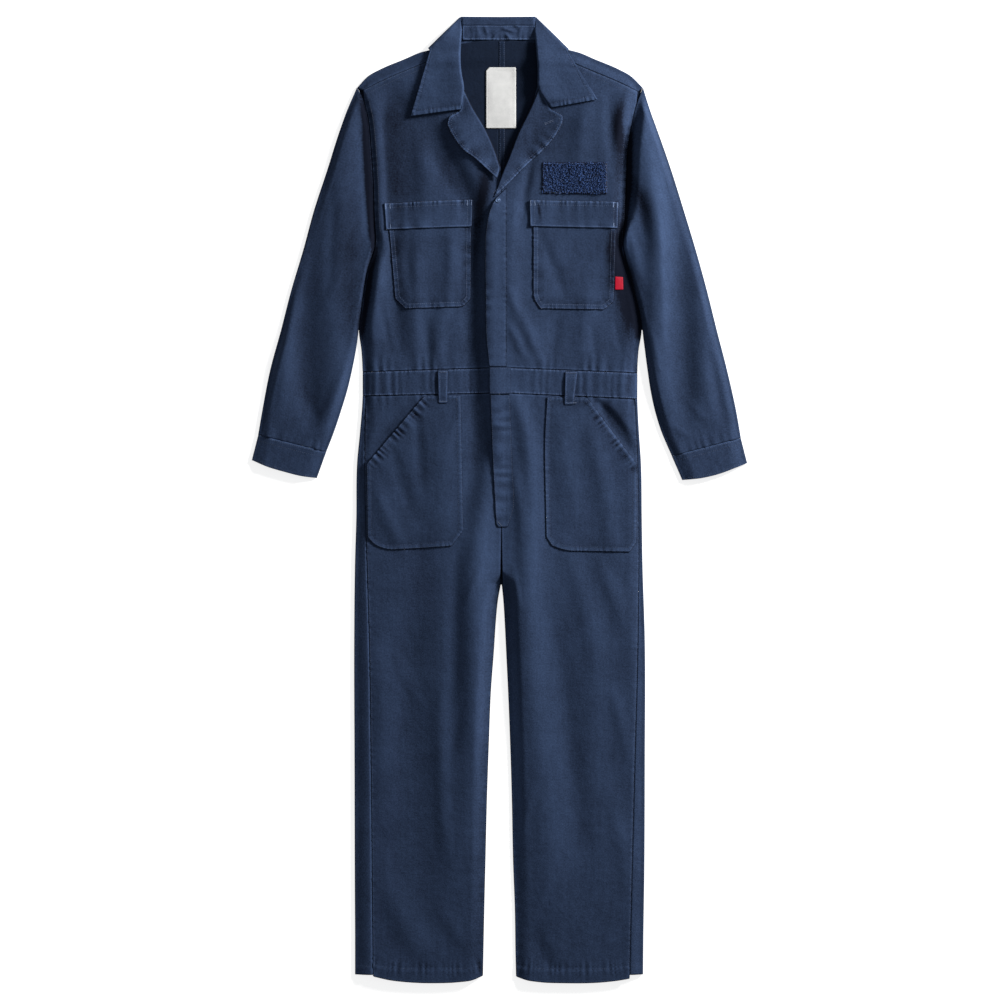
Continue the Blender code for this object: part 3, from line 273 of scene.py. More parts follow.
# Painted shade and painted light in the cloth's colour: darker where shadow falls, paler with a negative
# depth where light falls. Stations of y, x, half width and depth.
PAINTED_SHADES = (
    # painted shadow in the armholes' valleys, and on the body's margin beside the left one
    ((1495, -238, 5, 0), (1433, -223.5, 5, 0.8), (1384, -221, 5.5, 0.95), (1300, -216, 6, 0.95),
     (1250, -212, 6, 0.95), (1217, -208, 5.5, 0.9), (1184, -214, 6, 0.8), (1134, -221, 6, 0.7),
     (1084, -230, 6, 0.7), (1060, -231, 5, 0)),
    ((1450, 230, 5, 0), (1433, 224, 5, 0.2), (1384, 216, 5.5, 0.9), (1350, 215.5, 6, 0.9),
     (1300, 211.5, 6, 0.9), (1250, 206, 5, 0.9), (1217, 200.5, 5, 0.9), (1184, 210.5, 6, 0.9),
     (1134, 221, 7, 0.9), (1084, 231, 6, 0.8), (1060, 232, 5, 0)),
    ((1480, 206, 8, 0), (1433, 197, 9, 0.7), (1384, 201, 11, 0.55), (1300, 194, 10, 0.3),
     (1250, 194, 12, 0.5), (1217, 191, 14, 0.65), (1184, 196, 14, 0.6), (1134, 208, 15, 0.55),
     (1100, 213, 14, 0.45), (1060, 216, 13, 0.2), (1020, 216, 12, 0)),
    # painted shadow and painted light on the sleeves beside them
    ((1345, 222, 6, 0), (1310, 232, 12, 0.45), (1270, 244, 12, 0.35), (1235, 250, 8, 0)),
    ((1250, 214, 5, 0), (1225, 209, 6, -0.7), (1205, 214, 6, -0.6), (1180, 224, 6, 0)),
    ((1470, 250, 8, 0), (1400, 268, 10, 0.15), (1330, 290, 10, 0.15), (1250, 312, 10, 0)),
    ((1430, -236, 6, 0), (1350, -228, 7, -0.15), (1250, -222, 7, -0.2), (1200, -216, 6, 0)),
    ((1400, -252, 14, 0), (1290, -254, 18, 0.12), (1240, -252, 20, 0.25), (1130, -250, 20, 0.25),
     (1050, -254, 18, 0)),
    # painted shadow in the hollow beside the closing strip's upper end
    ((1365, -30, 10, 0), (1330, -25, 11, 0.6), (1290, -31, 11, 0.6), (1240, -38, 10, 0.25),
     (1180, -42, 9, 0)),
    # broad patches: painted shade on the left chest and beside the closing strip, and painted light on the
    # right flap
    ((1480, 170, 30, 0), (1420, 176, 34, 0.1), (1350, 176, 34, 0.1), (1290, 170, 30, 0)),
    ((1330, 24, 20, 0), (1250, 26, 24, 0.07), (1050, 28, 24, 0.07), (980, 26, 20, 0)),
    ((1312, -118, 60, 0), (1285, -118, 70, -0.12), (1255, -118, 70, -0.12), (1235, -118, 60, 0)),
    # the legs' inner margins: painted shade on the right leg, painted light at the left leg's edge and
    # painted shade beside it
    ((690, -4, 20, 0), (640, -4, 26, 0.17), (470, -14, 30, 0.2), (337, -20, 30, 0.22),
     (204, -23, 32, 0.2), (88, -26, 28, 0.17), (-40, -28, 28, 0.15)),
    ((640, 16, 8, 0), (602, 18, 8, -0.15), (520, 22, 8, -0.27), (470, 24, 9, -0.3),
     (337, 29, 9, -0.3), (204, 32, 9, -0.22), (88, 34, 9, -0.1), (30, 35, 9, 0)),
    ((660, 40, 16, 0), (602, 44, 18, 0.14), (540, 48, 18, 0.12), (470, 58, 18, 0.08),
     (400, 62, 18, 0)),
    # painted shadow beside the left flap's inner tack
    ((1299, 62.5, 2.4, 0), (1290, 64.5, 2.4, 0.45), (1275, 67, 2.4, 0.45), (1260, 67.5, 2.4, 0)),
)
# Short creases between them: start x and y, end x and y, half width and height.
SMALL_FOLDS = (
    (-30, 1240, -50, 1150, 8, -0.8), (-60, 1110, -110, 1050, 9, 0.9), (-196, 1120, -176, 1030, 8, -1),
    (36, 1294, 18, 1262, 5, 1), (46, 1300, 30, 1240, 6, -0.9), (150, 1110, 160, 1026, 10, -0.9),
    (186, 1120, 206, 1036, 9, -0.9), (-60, 970, -90, 880, 10, 0.9), (-26, 700, -70, 600, 10, 0.9),
    (20, 700, 36, 610, 8, 1.2), (-180, 560, -120, 440, 14, 0.8), (-60, 520, -90, 380, 12, 0.8),
    (180, 340, 120, 240, 14, -0.7), (60, 330, 28, 230, 10, 1), (90, 190, 50, 90, 12, 0.8),
    (-250, 1200, -296, 1110, 10, 0.9), (-330, 1000, -300, 930, 10, -1), (-360, 1040, -380, 930, 9, -0.9),
    (-270, 930, -330, 905, 8, 0.9), (246, 1110, 268, 1000, 8, 1), (300, 980, 350, 925, 9, 0.8),
    (280, 930, 320, 905, 8, 0.9),
)
# Crumpling of the inside neck band.
STAND_FOLDS = (
    (-20, 1574, 2, 1586, 4, 2), (-2, 1587, 30, 1578, 4, 2.2), (-26, 1592, -17, 1567, 5, 1.5),
    (-38, 1590, -34, 1568, 5, 1.2), (-52, 1590, -47, 1568, 6, -1), (8, 1578, 19, 1566, 4, 1.8),
    (-6, 1577, -10, 1566, 4, 1.6), (38, 1592, 30, 1568, 5, 1.4), (50, 1590, 44, 1568, 6, -1.2),
    (20, 1594, 34, 1586, 4, 1.4),
)
# Creases of the back, where it lifts off the surface beneath it.
BACK_FOLDS = (
    (-120, 1440, -150, 1180, 34, 1.5), (118, 1420, 96, 1160, 30, 1.4), (-40, 1200, -60, 1030, 26, 1.3),
    (60, 1130, 130, 1030, 28, 1.2), (-180, 1120, -150, 1024, 22, 1.2), (184, 1100, 160, 1024, 22, 1.1),
    (-70, 960, -120, 760, 34, 1.5), (80, 950, 130, 740, 34, 1.4), (-30, 720, -110, 600, 28, 1.4),
    (34, 720, 120, 600, 28, 1.4), (-140, 640, -130, 220, 40, 1.5), (120, 560, 150, 180, 40, 1.5),
    (-70, 420, -180, 300, 30, 1.2), (80, 400, 190, 260, 30, 1.2), (-190, 150, -90, 60, 28, 1.2),
    (180, 150, 80, 60, 28, 1.1), (-270, 1400, -300, 1120, 26, 1.3), (275, 1380, 320, 1060, 26, 1.3),
    (-330, 1060, -350, 920, 24, 1.2), (290, 1040, 330, 920, 24, 1.1),
)


# ---------------------------------------------------------------- small mathematics
def smooth(t: Array) -> Array:
    """Ease from 0 to 1 as t goes from 0 to 1.

    Args:
        t: position between the two ends; values outside are held at the ends.

    Returns:
        The eased value.
    """
    t = np.clip(t, 0.0, 1.0)
    return t * t * (3.0 - 2.0 * t)


def bell(off: Array, width: float, centre: float = 0.0) -> Array:
    """A rounded bump: 1 at its centre, and about a third of that one width away from it."""
    return np.exp(-((off - centre) / width) ** 2)


def rim(off: Array, width: float) -> Array:
    """How far a rounded edge falls: 1 at the edge itself, and 0 from its width inwards."""
    return 1 - np.sqrt(1 - np.clip(1 - off / width, 0.0, 1.0) ** 2)


def unit(vector: Array) -> Array:
    """A vector in plan at length 1."""
    return vector / np.hypot(*vector)


def marks(line: Points) -> Array:
    """Running length at each point of a line."""
    steps = np.hypot(*np.diff(np.asarray(line, float)[:, :2], axis=0).T)
    return np.concatenate(([0.0], np.cumsum(steps)))


def summed(steps: Array) -> Array:
    """Running length along each row of a grid, from the steps between its columns."""
    return np.concatenate((np.zeros((len(steps), 1)), np.cumsum(steps, axis=1)), axis=1)


def row_marks(points: Array) -> Array:
    """Running length at each point of a grid, along its rows."""
    return summed(np.linalg.norm(np.diff(points, axis=1), axis=2))


def run_on(cut: Array, run: Array) -> Array:
    """Cut positions of a strip that runs on down the cloth from the points of an edge."""
    return np.dstack((np.repeat(cut[:, :1], run.shape[1], axis=1), cut[:, 1:2] + run * MM))


def along(line: Points, shares: Array) -> Array:
    """Points of a line at given shares of its length.

    Args:
        line: points of the line.
        shares: shares of its length, from 0 to 1.

    Returns:
        One point for each share.
    """
    line = np.asarray(line, float)
    run = marks(line)
    wanted = np.asarray(shares) * run[-1]
    return np.column_stack([np.interp(wanted, run, line[:, axis]) for axis in range(2)])


def resampled(line: Array, step: float) -> Array:
    """The same line with its points about one step apart."""
    count = max(2, int(round(marks(line)[-1] / step)))
    return along(line, np.linspace(0.0, 1.0, count + 1))


def flowing(points: Points, step: float = 5.0) -> Array:
    """A smooth line through points.

    Args:
        points: the points that it passes through, in order.
        step: spacing of its own points.

    Returns:
        The line's points.
    """
    points = np.asarray(points, float)
    run = marks(points)
    wanted = np.linspace(0.0, run[-1], max(2, int(round(run[-1] / step))) + 1)
    slope = np.gradient(points, run, axis=0)
    index = np.clip(np.searchsorted(run, wanted, side="right") - 1, 0, len(points) - 2)
    span = (run[index + 1] - run[index])[:, None]
    t = (wanted - run[index])[:, None] / span
    start, end = points[index], points[index + 1]
    return (start * (2 * t ** 3 - 3 * t ** 2 + 1) + end * (3 * t ** 2 - 2 * t ** 3)
            + span * (slope[index] * (t ** 3 - 2 * t ** 2 + t) + slope[index + 1] * (t ** 3 - t ** 2)))


def by_side(table: Array) -> dict[Side, Array]:
    """Smooth lines, as (distance from the centre line, y), of a table of y, right and left."""
    return {side: flowing(table[:, (number, 0)]) for number, side in ((1, Side.RIGHT), (2, Side.LEFT))}


def at_height(line: Array, y: Array) -> Array:
    """Distance from the centre line at given heights, of a line that runs from the top down."""
    return np.interp(y, line[::-1, 1], line[::-1, 0])


def section(line: Array, low: float, high: float) -> Array:
    """The part of a line between two heights, from the top down.

    Args:
        line: points of the line, from the top down.
        low: lower height.
        high: upper height.

    Returns:
        The part between them.
    """
    inner = line[(line[:, 1] > low + 0.5) & (line[:, 1] < high - 0.5)]
    high, low = min(high, line[0, 1]), max(low, line[-1, 1])
    ends = np.array(((at_height(line, high), high), (at_height(line, low), low)))
    return np.concatenate((ends[:1], inner, ends[1:]))


def patch(start: Array, end: Array, first: Array, last: Array, across: Array, down: Array) -> Array:
    """Fill between four edges that meet at their corners.

    Args:
        start: edge at the start, running across.
        end: edge at the end, running across.
        first: edge at the first side, running down.
        last: edge at the last side, running down.
        across: shares of the points across.
        down: shares of the points down.

    Returns:
        Points as rows, columns and (x, y).
    """
    starts, ends = along(start, across)[None], along(end, across)[None]
    firsts, lasts = along(first, down)[:, None], along(last, down)[:, None]
    u = np.asarray(across)[None, :, None]
    v = np.asarray(down)[:, None, None]
    corners = ((1 - v) * ((1 - u) * starts[:, :1] + u * starts[:, -1:])
               + v * ((1 - u) * ends[:, :1] + u * ends[:, -1:]))
    return (1 - v) * starts + v * ends + (1 - u) * firsts + u * lasts - corners


def ruled(start: Array, end: Array, across: Array, down: Array) -> Array:
    """Fill between two edges with straight sides, as patch does."""
    return patch(start, end, np.array((start[0], end[0])), np.array((start[-1], end[-1])), across, down)


def twice_area(outline: Array) -> float:
    """Twice an outline's area, negative where it runs clockwise."""
    following = np.roll(outline, -1, axis=0)
    return np.sum(outline[:, 0] * following[:, 1] - following[:, 0] * outline[:, 1])


def rounded(points: Points, corner: float = 1.2, step: float = 0.8, sharp: float = 38.0) -> Array:
    """Turn a closed outline's gentle turns into curves and round its corners.

    Args:
        points: corners of the outline.
        corner: rounding of its sharp corners.
        step: spacing of the points on a curve.
        sharp: turn in degrees above which a corner is sharp.

    Returns:
        The outline, counter-clockwise and open, without its first point repeated.
    """
    points = np.asarray(points, float)
    if twice_area(points) < 0:
        points = points[::-1]
    made = []
    for before, here, after in zip(np.roll(points, 1, axis=0), points, np.roll(points, -1, axis=0)):
        back, ahead = before - here, after - here
        reach_back, reach_ahead = np.hypot(*back), np.hypot(*ahead)
        turn = math.degrees(math.acos(np.clip(-np.dot(back, ahead) / reach_back / reach_ahead, -1, 1)))
        reach, spacing = 0.5 * min(reach_back, reach_ahead), 5.0
        if turn > sharp:
            reach, spacing = min(reach, corner), step
        start, end = here + back / reach_back * reach, here + ahead / reach_ahead * reach
        t = np.linspace(0, 1, max(1 if turn < 2.0 else 3, int(2 * reach / spacing)) + 1)[:, None]
        made.append((1 - t) ** 2 * start + 2 * t * (1 - t) * here + t ** 2 * end)
    line = np.concatenate(made)
    keep = np.hypot(*(line - np.roll(line, 1, axis=0)).T) > 0.05
    return line[keep]


def closed(outline: Array) -> Array:
    """An outline with its first point repeated at its end."""
    return np.concatenate((outline, outline[:1]))


def nearest(x: Array, y: Array, line: Array) -> tuple[Array, Array, Array]:
    """Nearest point of a line to each of many points.

    Args:
        x: first coordinates of the points.
        y: second coordinates of the points.
        line: points of the line, in order.

    Returns:
        Distance, running length along the line, and 1 on the line's left or -1 on its right.
    """
    best = np.full(np.shape(x), np.inf)
    run = np.zeros_like(best)
    hand = np.ones_like(best)
    for (ax, ay), (bx, by), start in zip(line[:-1], line[1:], marks(line)):
        ux, uy = bx - ax, by - ay
        span = max(math.hypot(ux, uy), 1e-9)
        share = np.clip(((x - ax) * ux + (y - ay) * uy) / span ** 2, 0.0, 1.0)
        off = np.hypot(x - ax - ux * share, y - ay - uy * share)
        closer = off < best
        best = np.where(closer, off, best)
        run = np.where(closer, start + share * span, run)
        hand = np.where(closer, np.sign(ux * (y - ay) - uy * (x - ax)), hand)
    return best, run, hand


def inside(x: Array, y: Array, outline: Array) -> Array:
    """Whether each point lies inside a closed outline.

    Args:
        x, y: the points' places in plan.
        outline: the outline's corners.

    Returns:
        True for each point inside.
    """
    found = np.zeros(np.shape(x), bool)
    for (ax, ay), (bx, by) in zip(outline, np.roll(outline, -1, axis=0)):
        if ay == by:
            continue
        crosses = ((ay > y) != (by > y)) & (x < (bx - ax) * (y - ay) / (by - ay) + ax)
        found ^= crosses
    return found


def leftwards(ahead: Array) -> Array:
    """Unit vectors to the left of directions."""
    ahead = ahead / np.maximum(np.hypot(*ahead.T), 1e-9)[:, None]
    return np.column_stack((-ahead[:, 1], ahead[:, 0]))


def inset(outline: Array, amount: float) -> Array:
    """Points of an outline moved inwards along its normals."""
    return outline + leftwards(np.roll(outline, -1, axis=0) - np.roll(outline, 1, axis=0)) * amount


def shifted(line: Array, amount: float) -> Array:
    """An open line moved to its left by an amount."""
    return line + leftwards(np.gradient(line, axis=0)) * amount


def inner_ring(outline: Array, amount: float, step: float = 2.0) -> Array:
    """A closed line at one distance inside an outline, from points about one step apart."""
    return closed(inset(resampled(closed(outline), step)[:-1], amount))


def ripple(run: Array, wavelength: float, seed: float) -> Array:
    """An uneven wave along a seam, between about -1 and 1.

    Args:
        run: running length along the seam.
        wavelength: mean distance between crests.
        seed: changes where the crests fall.

    Returns:
        Height of the wave.
    """
    turn = 2 * math.pi * run / wavelength
    wander = 1.5 * np.sin(turn / 3.7 + 2.1 * seed) + 0.9 * np.sin(turn / 8.3 + 0.7 * seed)
    swell = 0.62 + 0.38 * np.sin(turn / 5.3 + 1.9 * seed)
    return np.sin(turn + 1.7 * seed + wander) * swell


def mirrored(side: Side, points: Points) -> Array:
    """Points given as distances from the centre line, placed on their side of it."""
    return np.asarray(points, float) * (side.value, 1.0)


BODY = by_side(BODY_EDGE)
INNER = by_side(INNER_LEG)
SEAM = by_side(SIDE_SEAM)
SIDES = (Side.RIGHT, Side.LEFT)


# ---------------------------------------------------------------- height of the cloth
def fold_sum(folds: Sequence[Sequence[float]], x: Array, y: Array) -> Array:
    """Height that short creases add at each point: ridges and troughs, fading at their ends.

    Args:
        folds: start x and y, end x and y, half width and height of each.
        x, y: the points' places in plan.

    Returns:
        The height at each point.
    """
    total = np.zeros(np.shape(x))
    for x0, y0, x1, y1, half_width, height in folds:
        run_x, run_y = x1 - x0, y1 - y0
        share = np.clip(((x - x0) * run_x + (y - y0) * run_y) / math.hypot(run_x, run_y) ** 2, 0.0, 1.0)
        off = np.hypot(x - x0 - run_x * share, y - y0 - run_y * share)
        total += height * np.sin(np.pi * share) * bell(1.5 * off, half_width)
    return total


def fine_tables(creases: Sequence[Points]) -> list[Array]:
    """Long creases as fine tables from the foot up: y, x, half width across it and height.

    Args:
        creases: stations of each, from the top down.

    Returns:
        One table for each.
    """
    tables = []
    for stations in creases:
        table = flowing(stations, 8.0)[::-1]
        lean = np.gradient(table[:, 1]) / np.gradient(table[:, 0])
        table[:, 2] *= np.hypot(1.0, lean)
        tables.append(table)
    return tables


CREASE_TABLES = fine_tables(CREASES)
PAINTED_SHADE_TABLES = fine_tables(PAINTED_SHADES)


def crease_sum(tables: Sequence[Array], x: Array, y: Array) -> Array:
    """Height that long creases add at each point.

    Args:
        tables: fine tables of the creases.
        x, y: the points' places in plan.

    Returns:
        The height at each point.
    """
    x, y = np.broadcast_arrays(np.asarray(x, float), np.asarray(y, float))
    total = np.zeros(x.shape)
    for table in tables:
        live = (y > table[0, 0]) & (y < table[-1, 0])
        reach = 2.7 * table[:, 2].max()
        live &= (x > table[:, 1].min() - reach) & (x < table[:, 1].max() + reach)
        if live.any():
            centre, width, height = (np.interp(y[live], table[:, 0], table[:, column])
                                     for column in (1, 2, 3))
            total[live] += height * bell(x[live], width, centre)
    return total


class Relief:
    """Heights of the middle of each layer of the body."""

    def edges(self, x: Array, y: Array) -> list[Array]:
        """Distances from the centre line of the outer and inner edges on each point's own side."""
        return [np.where(x > CENTRE, at_height(lines[Side.LEFT], y), at_height(lines[Side.RIGHT], y))
                for lines in (BODY, INNER)]

    def creases(self, x: Array, y: Array) -> Array:
        """Long and short creases of the front together."""
        return CREASE_GAIN * (crease_sum(CREASE_TABLES, x, y) + fold_sum(SMALL_FOLDS, x, y))

    def fade(self, x: Array, y: Array) -> Array:
        """Painted light and shade: crests painted paler, troughs painted darker, and the painted shade and
        light of the table added.

        Args:
            x, y: the points' places in plan.

        Returns:
            Paler above 0 and darker below it.
        """
        height = self.creases(x, y)
        return (0.02 * np.maximum(height, 0.0) + 0.03 * np.minimum(height, 0.0)
                - crease_sum(PAINTED_SHADE_TABLES, x, y))

    def rise(self, x: Array, y: Array, edge: Array) -> Array:
        """Crown and creases together, never below the layer under them.

        Args:
            x: distances from the centre line, signed.
            y: heights above the hem.
            edge: 0 at a folded edge and 1 away from it.

        Returns:
            Height above the layer's lowest place.
        """
        height = CROWN * edge + edge * self.creases(x, y)
        return 0.5 * (height + np.sqrt(height ** 2 + 1.0))

    def back(self, x: Array, y: Array) -> Array:
        """Middle of the back, lifted at the neck over the collar fall."""
        lift = smooth((y - FALL_EDGE + 26.0) / 24.0) * smooth((160.0 - np.abs(x)) / 34.0)
        return BACK_MID + NECK_RAISE * lift

    def front(self, x: Array, y: Array) -> Array:
        """Middle of the front layer.

        Args:
            x, y: the points' places in plan.

        Returns:
            The height at each point.
        """
        x, y = np.asarray(x, float), np.asarray(y, float)
        left = x > CENTRE
        out = np.where(left, x, -x)
        outer, inner = self.edges(x, y)
        to_side = outer - out
        to_inner = out - inner + np.maximum(y - CROTCH, 0.0)
        shoulder = np.interp(np.abs(x), SHOULDER[::-1, 0], SHOULDER[::-1, 1])
        to_shoulder = np.maximum(shoulder - y, 0.0) * 0.9
        run = CROWN_RUN - np.where(left, 0.0, CROWN_RUN - ARMHOLE_RUN) * smooth((y - ARMPIT + 10.0) / 50.0)
        edge = smooth(to_side / run) * smooth(to_inner / CROWN_RUN) * smooth(to_shoulder / CROWN_RUN)
        free_side = smooth((ARMPIT - y) / 30.0) * smooth((y - WAIST_BOTTOM + 40.0) / 30.0)
        dip = np.maximum(free_side * (1 - smooth(to_side / DIP_RUN)), 1 - smooth(to_inner / DIP_RUN))
        return self.back(x, y) + LAYER + self.rise(x, y, edge) - EDGE_DIP * dip

    def under(self, x: Array, y: Array) -> Array:
        """How far the back lifts off the surface in its own creases.

        Args:
            x, y: the points' places in plan.

        Returns:
            The height at each point.
        """
        outer, inner = self.edges(x, y)
        to_side = outer - np.abs(x)
        to_inner = np.where(y < CROTCH, np.abs(x) - inner, 60.0)
        return fold_sum(BACK_FOLDS, x, y) * smooth(to_side / 30.0) * smooth(to_inner / 30.0)


RELIEF = Relief()


@dataclass(frozen=True)
class Pucker:
    """Small gathers that a line of stitching draws up in the cloth beside it."""

    line: Points
    wavelength: float
    height: float
    reach: float
    seed: float = 1.0
    fade_from: float = 0.0
    grows: float = 0.0

    def lift(self, x: Array, y: Array) -> Array:
        """Height that the gathers add at each point.

        Args:
            x, y: the points' places in plan.

        Returns:
            The height at each point.
        """
        off, run, _ = nearest(x, y, self.line)
        share = np.maximum(off - self.fade_from, 0.0) / self.reach
        height = self.height * ripple(run, self.wavelength, self.seed) * bell(share, 1.0)
        return height * (0.25 + 0.75 * smooth(run / self.grows)) if self.grows else height


# ---------------------------------------------------------------- meshes
def to_frame(points: Array) -> Array:
    """Millimetres from the hem to metres from the middle of the suit.

    Args:
        points: places as x, y and z.

    Returns:
        The places in the frame.
    """
    moved = np.array(points, float)
    moved[..., 1] -= LENGTH / 2
    return moved * MM


def mesh_object(name: str, points: Array, faces: Array, uv: Array, fade: Array) -> bpy.types.Object:
    """Make an object from points and faces.

    Args:
        name: name of the piece.
        points: points in millimetres, as rows of x, y and z.
        faces: point numbers of each face.
        uv: cut position of each face corner, in metres, in the order of the faces.
        fade: each point's tone from 1 to -1, with wear, its own tone, painted light and painted shade.

    Returns:
        The new object, shaded smooth.
    """
    mesh = bpy.data.meshes.new(name)
    mesh.from_pydata(to_frame(points).tolist(), [], faces.tolist())
    layer = mesh.uv_layers.new(name="cut")
    layer.data.foreach_set("uv", np.asarray(uv, np.float32).ravel())
    attribute = mesh.attributes.new("fade", "FLOAT", "POINT")
    attribute.data.foreach_set("value", np.asarray(fade, np.float32))
    mesh.shade_smooth()
    made = bpy.data.objects.new(name, mesh)
    bpy.context.scene.collection.objects.link(made)
    return made


def give_thickness(made: bpy.types.Object, thickness: float, offset: float = 0.0,
                   inner: int = 0) -> None:
    """Give a sheet its thickness.

    Args:
        made: the sheet.
        thickness: its thickness in millimetres.
        offset: 0 for a wall about the sheet's middle, -1 for one inwards from its outer face.
        inner: how many material slots further the inner face's material is.
    """
    wall = made.modifiers.new("Cloth", "SOLIDIFY")
    wall.thickness = thickness * MM
    wall.offset = offset
    wall.material_offset = inner
    wall.use_quality_normals = True


def finish_piece(made: bpy.types.Object, finish: "Finish", node: str | None = None) -> None:
    """Give a piece its material, tie it to the frame and hide the part's node that it stands for.

    Args:
        made: the piece.
        finish: its finish.
        node: the part's node that it stands for, if any.
    """
    made.data.materials.clear()
    made.data.materials.append(finish.material())
    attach(made, "root")
    if node:
        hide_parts(node)


def numbered(rows: int, columns: int) -> Array:
    """Point numbers of a grid, row by row."""
    return np.arange(rows * columns).reshape(rows, columns)


def quads(number: Array, turned: bool) -> Array:
    """Point numbers of the faces between the rows and columns of a grid, turned over if asked."""
    corners = (number[:-1, :-1], number[:-1, 1:], number[1:, 1:], number[1:, :-1])
    return np.stack([part.ravel() for part in (corners[::-1] if turned else corners)], axis=1)


def tube_object(name: str, grid: Grid) -> bpy.types.Object:
    """Make a tube of cloth from a grid whose last column repeats its first.

    Args:
        name: name of the piece.
        grid: its grid.

    Returns:
        The new object.
    """
    points, uv, fade, turned = grid
    rows, columns = points.shape[:2]
    number = numbered(rows, columns - 1)
    faces = quads(np.concatenate((number, number[:, :1]), axis=1), turned)
    corners = quads(numbered(rows, columns), turned).ravel()
    return mesh_object(name, points[:, :-1].reshape(-1, 3), faces, uv.reshape(-1, 2)[corners],
                       np.clip(fade, -1, 1)[:, :-1].ravel())


@dataclass
class FlatCloth:
    """A piece of cloth cut to an outline, lying on the layer beneath it.

    Sizes are in millimetres. offset is the height of the piece's lower face above the middle of
    the layer that it follows, and turned is the width of its turned-in edge.
    """

    name: str
    outline: Array
    base: Height = RELIEF.front
    offset: float = -CLOTH / 2
    thickness: float = CLOTH
    spacing: float = 3.0
    drop: float = 0.55
    drop_run: float = 1.6
    turned: float = 0.0
    puff: float = 0.0
    worn: float = 0.35
    lift: Height | None = None
    puckers: Sequence[Pucker] = ()
    rolled: Points | None = None
    rolled_run: float = 3.2
    rolled_depth: Height | None = None
    rings: Sequence[float] = (0.45, 1.1, 2.0, 3.4, 5.2, 7.2)
    cut: tuple[float, float] | None = None

    def __post_init__(self) -> None:
        """Keep a hair's clearance on each side of the outline."""
        self.outline = inset(self.outline, SEAT / 2)

    def to_edge(self, x: Array, y: Array) -> Array:
        """Distance of each point from the piece's edge."""
        return nearest(x, y, closed(self.outline))[0]

    def detail(self, x: Array, y: Array) -> Array:
        """Height of the turned edge, the gathers and the rounded rim, beyond the plain form.

        Args:
            x, y: the points' places in plan.

        Returns:
            The height at each point.
        """
        off = self.to_edge(x, y)
        height = self.puff * smooth(off / PUFF_RUN)
        if self.turned:
            height = height + TURNED_STEP * (1 - smooth((off - self.turned + 0.9) / 1.8))
            height = height - TURNED_GROOVE * bell(off, 0.8, self.turned)
        for pucker in self.puckers:
            height = height + pucker.lift(x, y)
        height = height - self.drop * rim(off, self.drop_run)
        if self.rolled is not None:
            to_roll = nearest(x, y, self.rolled)[0]
            height = height - self.rolled_depth(x, y) * rim(to_roll, self.rolled_run)
        return height

    def top(self, x: Array, y: Array) -> Array:
        """Height of the piece's upper face."""
        height = self.base(x, y) + self.offset + self.thickness + self.detail(x, y)
        return height if self.lift is None else height + self.lift(x, y)

    def hand(self, line: Array, probe: float) -> float:
        """1 where the piece lies to the left of a line on its edge, or -1."""
        return 1.0 if inside(*shifted(line, probe)[len(line) // 2], self.outline) else -1.0

    def points(self) -> tuple[Array, Array]:
        """Points of the piece in plan and the faces between them.

        Returns:
            The points as rows of (x, y), and the triangles' point numbers.
        """
        border = resampled(closed(self.outline), self.spacing * 0.8)[:-1]
        loose = []
        for amount in self.rings:
            ring = resampled(inner_ring(self.outline, amount, 1.0), max(self.spacing * 0.8, 1.6))[:-1]
            keep = inside(*ring.T, self.outline) & (self.to_edge(*ring.T) > amount - 0.12)
            loose.append(ring[keep])
        low, high = self.outline.min(axis=0), self.outline.max(axis=0)
        rows = np.arange(low[1], high[1], self.spacing * 0.87)
        columns = np.arange(low[0], high[0] + self.spacing, self.spacing)
        x, y = np.meshgrid(columns, rows)
        x = x + (np.arange(len(rows)) % 2)[:, None] * self.spacing / 2
        x, y = x.ravel(), y.ravel()
        keep = inside(x, y, self.outline) & (self.to_edge(x, y) > max(self.rings) + self.spacing * 0.6)
        loose.append(np.column_stack((x[keep], y[keep])))
        every = np.concatenate([border] + loose)
        count = len(border)
        edges = [(index, (index + 1) % count) for index in range(count)]
        found = delaunay_2d_cdt([Vector(point) for point in every], edges, [], 1, 1e-5)
        return np.array([tuple(point) for point in found[0]]), np.array(found[2])

    def make(self, finish: "Finish", node: str | None, *rests_on: str) -> "FlatCloth":
        """Args:
            finish: its finish.
            node: the part's node that it stands for, if any.
            *rests_on: what lies under it; not used.

        Returns:
            The piece itself.
        """
        plan, faces = self.points()
        x, y = plan.T
        points = np.column_stack((x, y, self.top(x, y)))
        first, second, third = (plan[faces[:, corner]] for corner in range(3))
        area = ((second - first)[:, 0] * (third - first)[:, 1]
                - (second - first)[:, 1] * (third - first)[:, 0])
        faces = np.where((area < 0)[:, None], faces[:, ::-1], faces)
        off = self.to_edge(x, y)
        fade = self.worn * bell(off, 1.2, 2.0) * (0.75 + 0.25 * ripple(x + y, 31.0, 2.0))
        if self.rolled is not None:
            fade = fade * smooth(nearest(x, y, self.rolled)[0] / 6.0)
        # painted shadow: a dark line along the piece's edge
        fade = fade - 0.4 * bell(off, 0.75)
        # painted light and shade: raised gathers and turned edges paler, grooves and the rounded rim darker,
        # plus the creases' painted light and shade
        fade = fade + RELIEF.fade(x, y) + 0.35 * (self.detail(x, y) - self.puff)
        made = mesh_object(self.name, points, faces, plan[faces.ravel()] * MM, np.clip(fade, -1, 1))
        give_thickness(made, self.thickness, -1.0)
        made.data.set_sharp_from_angle(angle=math.radians(55))
        finish_piece(made, finish, node)
        size = self.cut or tuple(self.outline.max(axis=0) - self.outline.min(axis=0))
        width, length = (float(side) * MM for side in size)
        area = abs(twice_area(self.outline)) / 2 * MM * MM
        return self


